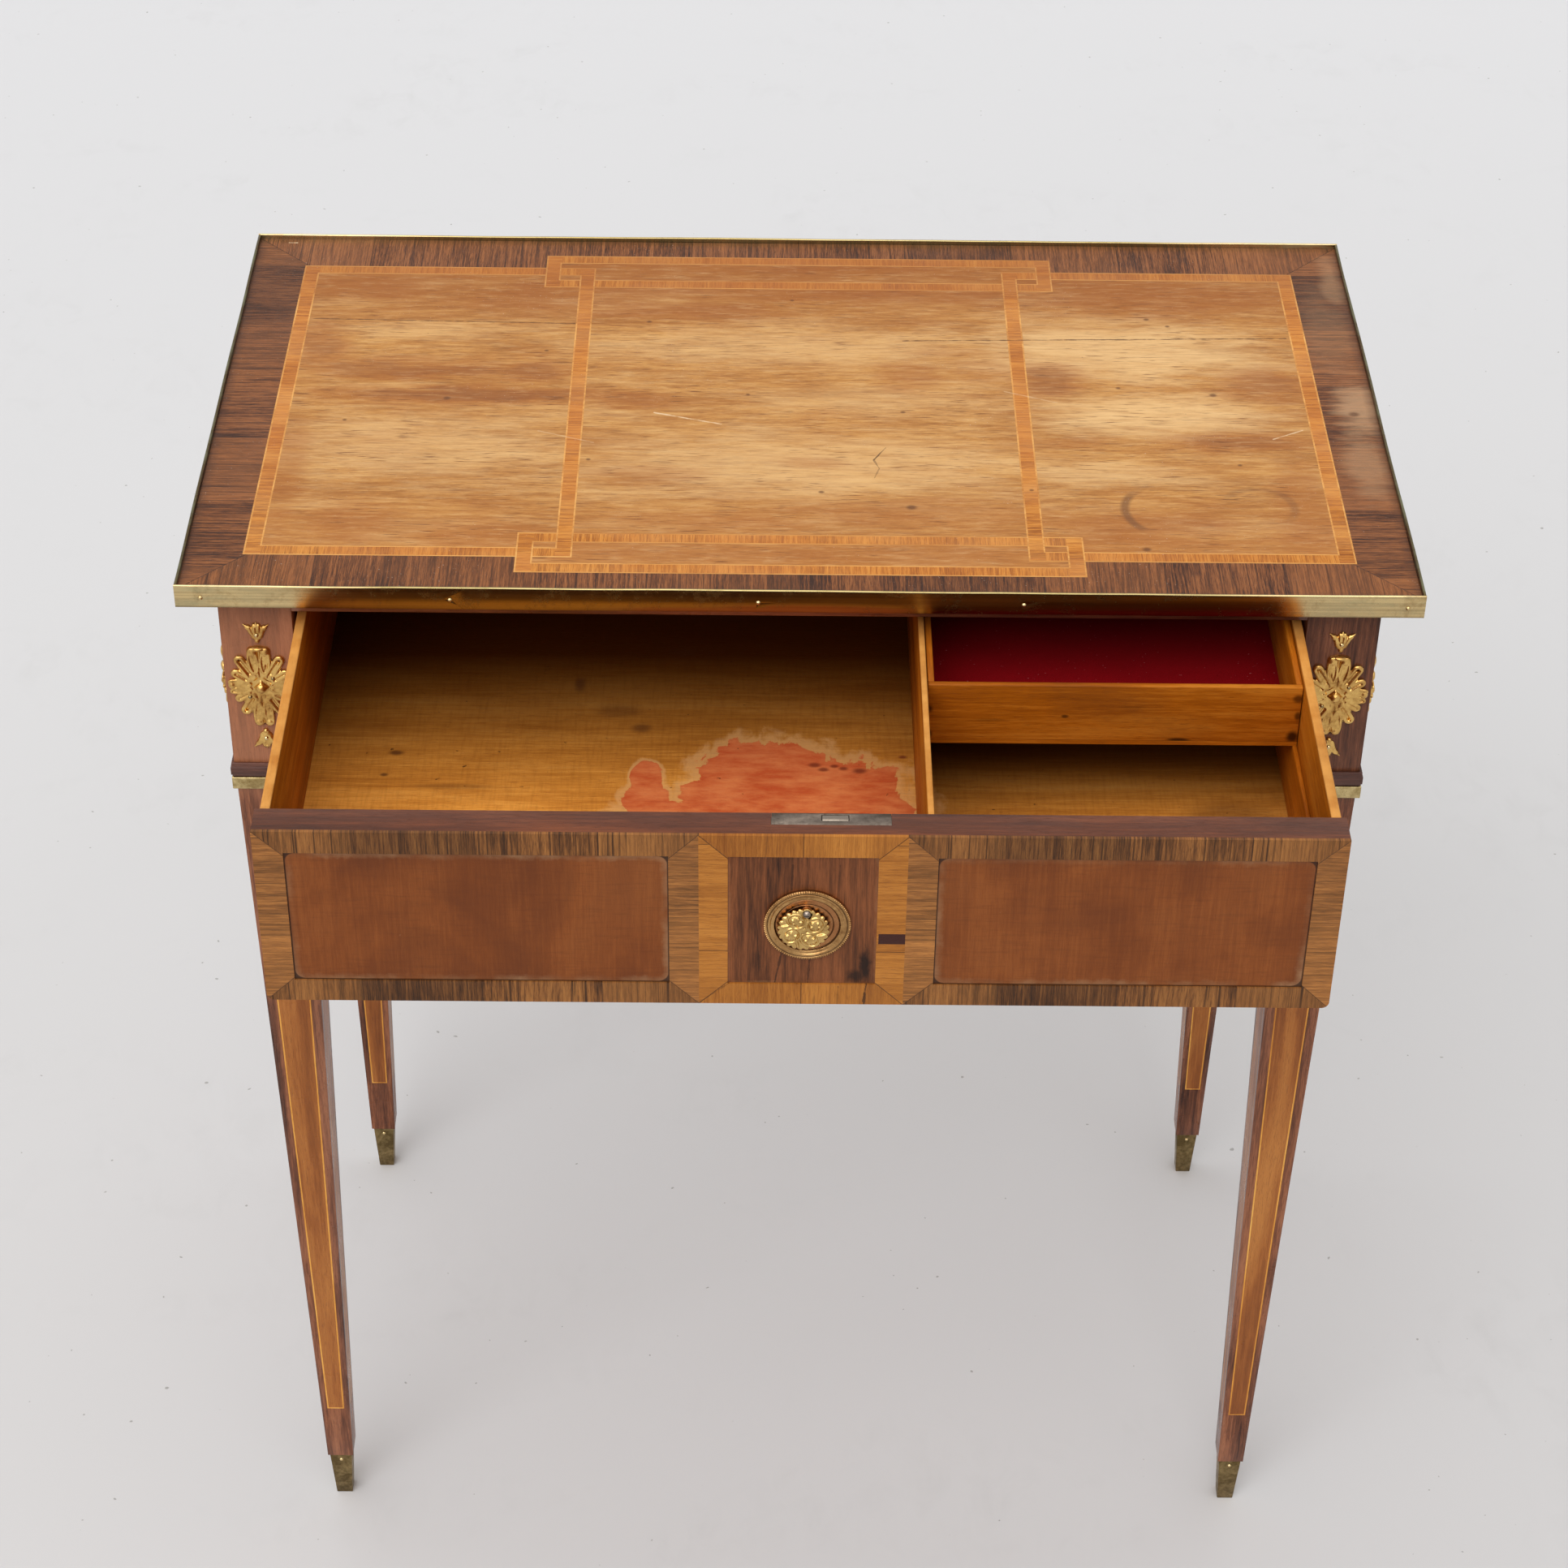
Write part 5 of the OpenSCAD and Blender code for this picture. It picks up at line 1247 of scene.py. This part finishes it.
# The plate's turned grooves and the beads of its milled edge, in millimetres from its middle
GROOVES = [20.6, 16.6, 13.4]
BEADS = 112
BEAD_AT = 21.9
BEAD_RADIUS = 0.52
BEAD_SHAPE = (0.85, 1, 1.3)
BEAD_DEEP = 0.3
PLATE_ARRIS = 0.00015
# The cover hangs from its screw, turned by so many degrees from plumb. The screw stands here in metres. The
# arm, and the height above which the carving is cut away round the screw, are in millimetres.
PIVOT = (0.0035, -0.3717, 0.683)
COVER_TURN = 8.4
COVER_ARM = 10.9
COVER_CLEAR = 1.44
# It has scallops round its edge and leaves at these turns, each with small nubs, in millimetres and degrees
SCALLOPS = 24
SCALLOPS_AT = 11.6
LEAF_TURNS = (38, 128, 218, 308)
LEAF_LEAN = 28
NUBS = 5


def escutcheon_material():
    material, place = new_material("escutcheon_brass")
    skin = use_group(old_metal, Place=place, Tarnish=0.5, Gloss=0.26, **ESCUTCHEON_SHADES)
    middle, _ = middle_and_half("escutcheon")
    x, _, z = axes(place)
    far = length(together(x - middle.x, z - middle.z))
    colour = mixed((far < GROOVES[1] * MM) * 0.65, skin["Colour"], COPPER_FLOOR)
    cut = strongest([remap(abs(far - groove * MM), 0.00012, 0.0004, 1, 0) for groove in GROOVES])
    colour = mixed(cut * 0.75, colour, ESCUTCHEON_SHADES["Grime"])
    return metallic(material, colour, skin["Height"] * 0.3 - cut, skin["Roughness"], 0.0003)


def milled_edge(plate):
    """One bead, spun round the plate's middle and joined to it."""
    low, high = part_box("escutcheon")
    middle = Vector(((low.x + high.x) / 2, low.y + BEAD_DEEP * MM, (low.z + high.z) / 2))
    bpy.ops.object.select_all(action="DESELECT")
    bpy.ops.mesh.primitive_uv_sphere_add(segments=8, ring_count=5, radius=BEAD_RADIUS * MM,
                                         location=middle + Vector((0, 0, BEAD_AT * MM)), scale=BEAD_SHAPE)
    bead = bpy.context.object
    bpy.ops.object.transform_apply()
    with edit_mode():
        bpy.ops.mesh.spin(steps=BEADS, dupli=True, angle=radians(360), center=middle, axis=(0, 1, 0))
        bpy.ops.mesh.select_all(action="SELECT")
        bpy.ops.mesh.remove_doubles(threshold=MERGE_WITHIN / 2)
        bpy.ops.mesh.normals_make_consistent(inside=False)
    bead.data.materials.append(plate.data.materials[0])
    run_together([plate, bead], plate.name)
    bpy.ops.object.shade_smooth_by_angle(angle=radians(40))


def rod(x, y, z, radius, high):
    return started(bpy.ops.mesh.primitive_cylinder_add, (x, y, z), vertices=48, radius=radius * MM,
                   depth=high * MM)


def on_circle(radius, way):
    return radius * cos(way), radius * sin(way)


def cover_model():
    """The cover face up with its middle at the origin and its screw hole above it."""
    parts = [rod(0, 0, 0.55, 12, 1.5), rod(0, COVER_ARM, 0.6, 3.1, 1.6), lump(0, 0, 1.2, 1.9, 1.9, 1.35)]
    for i in range(SCALLOPS):
        turn = i * 360 / SCALLOPS
        parts.append(lump(*on_circle(SCALLOPS_AT, radians(turn)), 0.45, 2.2, 1.45, 1.2, turn + 30))
    for turn in LEAF_TURNS:
        way = radians(turn)
        x, y = on_circle(7, way)
        parts.append(lump(x, y, 0.8, 4.3, 3.4, 1.9, turn + LEAF_LEAN))
        parts.append(cord_loop(x, y, 1.5, 5, 4.1, turn + LEAF_LEAN, 0.62))
        for nub in range(NUBS):
            lean = turn + LEAF_LEAN + nub * 360 / NUBS
            spot = radians(lean)
            parts.append(lump(x + 2.2 * cos(spot), y + 1.8 * sin(spot), 2.1, 1.2, 0.7, 1.05, lean))
        parts.append(lump(*on_circle(9.8, way + 0.75), 1, 3.2, 0.8, 1.6, turn + 70))
        parts.append(lump(*on_circle(3.6, way + 0.6), 1.1, 3, 0.8, 1.5, turn + 60))
    model = cast("cover_model", parts, FINE_CELL, 0.4)
    for hole in [rod(0, COVER_ARM, 1, 1.35, 6), rod(0, COVER_ARM, COVER_CLEAR + 2, 2.86, 4)]:
        apply_modifier(model, "BOOLEAN", operation="DIFFERENCE", object=hole, solver="EXACT")
        discard(hole)
    return model


milled_edge(eased("escutcheon", escutcheon_material(), PLATE_ARRIS))
cover = cover_model()
hung = Matrix.Translation(PIVOT) @ Matrix.Rotation(radians(COVER_TURN), 4, "Y") @ FACE_UP
hung = hung @ Matrix.Translation((0, -COVER_ARM * MM, 0))
settle(placed_copy(cover, "cover_leaves", hung), "keyhole_cover",
       metal("cover_gilding", COVER_GILT, 0.4, 0.26, 0.00008))
discard(cover)
give("cover_pivot_screw", metal("pivot_screw_steel", STEEL, 0.4))

# Tray and lining
# A shallow tray of the drawer's own wood slides on two ledges. Its bottom is lined with crimson cloth, glued
# down and dulled by dust, and painted darker towards the back as painted shade.
CRIMSON = (160, 16, 24)
CRIMSON_DEEP = (118, 6, 13)
# Painted shade towards the back of the lining
CRIMSON_PAINTED_SHADE = (40, 1, 4)
LINT = (206, 130, 130)
TRAY_ARRIS = 0.0005
# Ends of the corner joints, a knot and a chipped lower edge: shares of the front's width and height, then the
# reach in millimetres and the strength
TRAY_MARKS = [(0.006, 0.56, 2.6, 3.6, 0.8), (0.006, 0.1, 2.6, 4, 0.9), (0.99, 0.8, 3.4, 3.4, 0.75),
              (0.994, 0.48, 2.4, 4, 0.8), (0.986, 0.1, 4, 4.6, 0.95), (0.37, 0.44, 2.6, 1.4, 0.8),
              (0.17, 0.36, 12, 1.2, 0.35), (0.68, 0.02, 7, 1.8, 0.9), (0.55, 0.62, 9, 1, 0.25)]


def lining_material():
    material, place = new_material("crimson_lining")
    nap = patches(place, 2600, 2, 0.6)
    colour = mixed(remap(nap, 0.3, 0.7), CRIMSON_DEEP, CRIMSON)
    colour = blotched(colour, CRIMSON_DEEP, 0.5, place, (16, 30, 16), 0.45, 0.75, 4)
    low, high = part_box("tray_lining")
    deep = high.y - low.y
    # Painted shade: the lining darkens towards its back
    colour = mixed(remap(axes(place)[1] - low.y, 0.25 * deep, deep, 0, 0.9), colour, CRIMSON_PAINTED_SHADE)
    colour = blotched(colour, LINT, 0.5, place, 700, 0.76, 0.8, 1, 0.5)
    return surfaced(material, nap, 0.0003, {"Base Color": colour, "Roughness": 0.95,
                                            "Specular IOR Level": 0.05})


front_low, front_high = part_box("tray_front")
tray_marks = [((front_low.x + across * (front_high.x - front_low.x)) / MM,
               (front_low.z + up * (front_high.z - front_low.z)) / MM, reach_x, reach_z, strength)
              for across, up, reach_x, reach_z, strength in TRAY_MARKS]
tray_wood_x = drawer_board("tray_wood_across", "X", (0.3, 0.6, 0.1))
tray_wood_y = drawer_board("tray_wood_along", "Y", (0.5, 0.2, 0.6))
eased("tray_front", drawer_board("tray_front_wood", "X", (0.3, 0.6, 0.4), tray_marks), TRAY_ARRIS)
eased("tray_back", tray_wood_x, TRAY_ARRIS)
for name in ["tray_side_left", "tray_side_right"]:
    eased(name, tray_wood_y, TRAY_ARRIS)
give("tray_bottom", tray_wood_x)
give("tray_lining", lining_material())
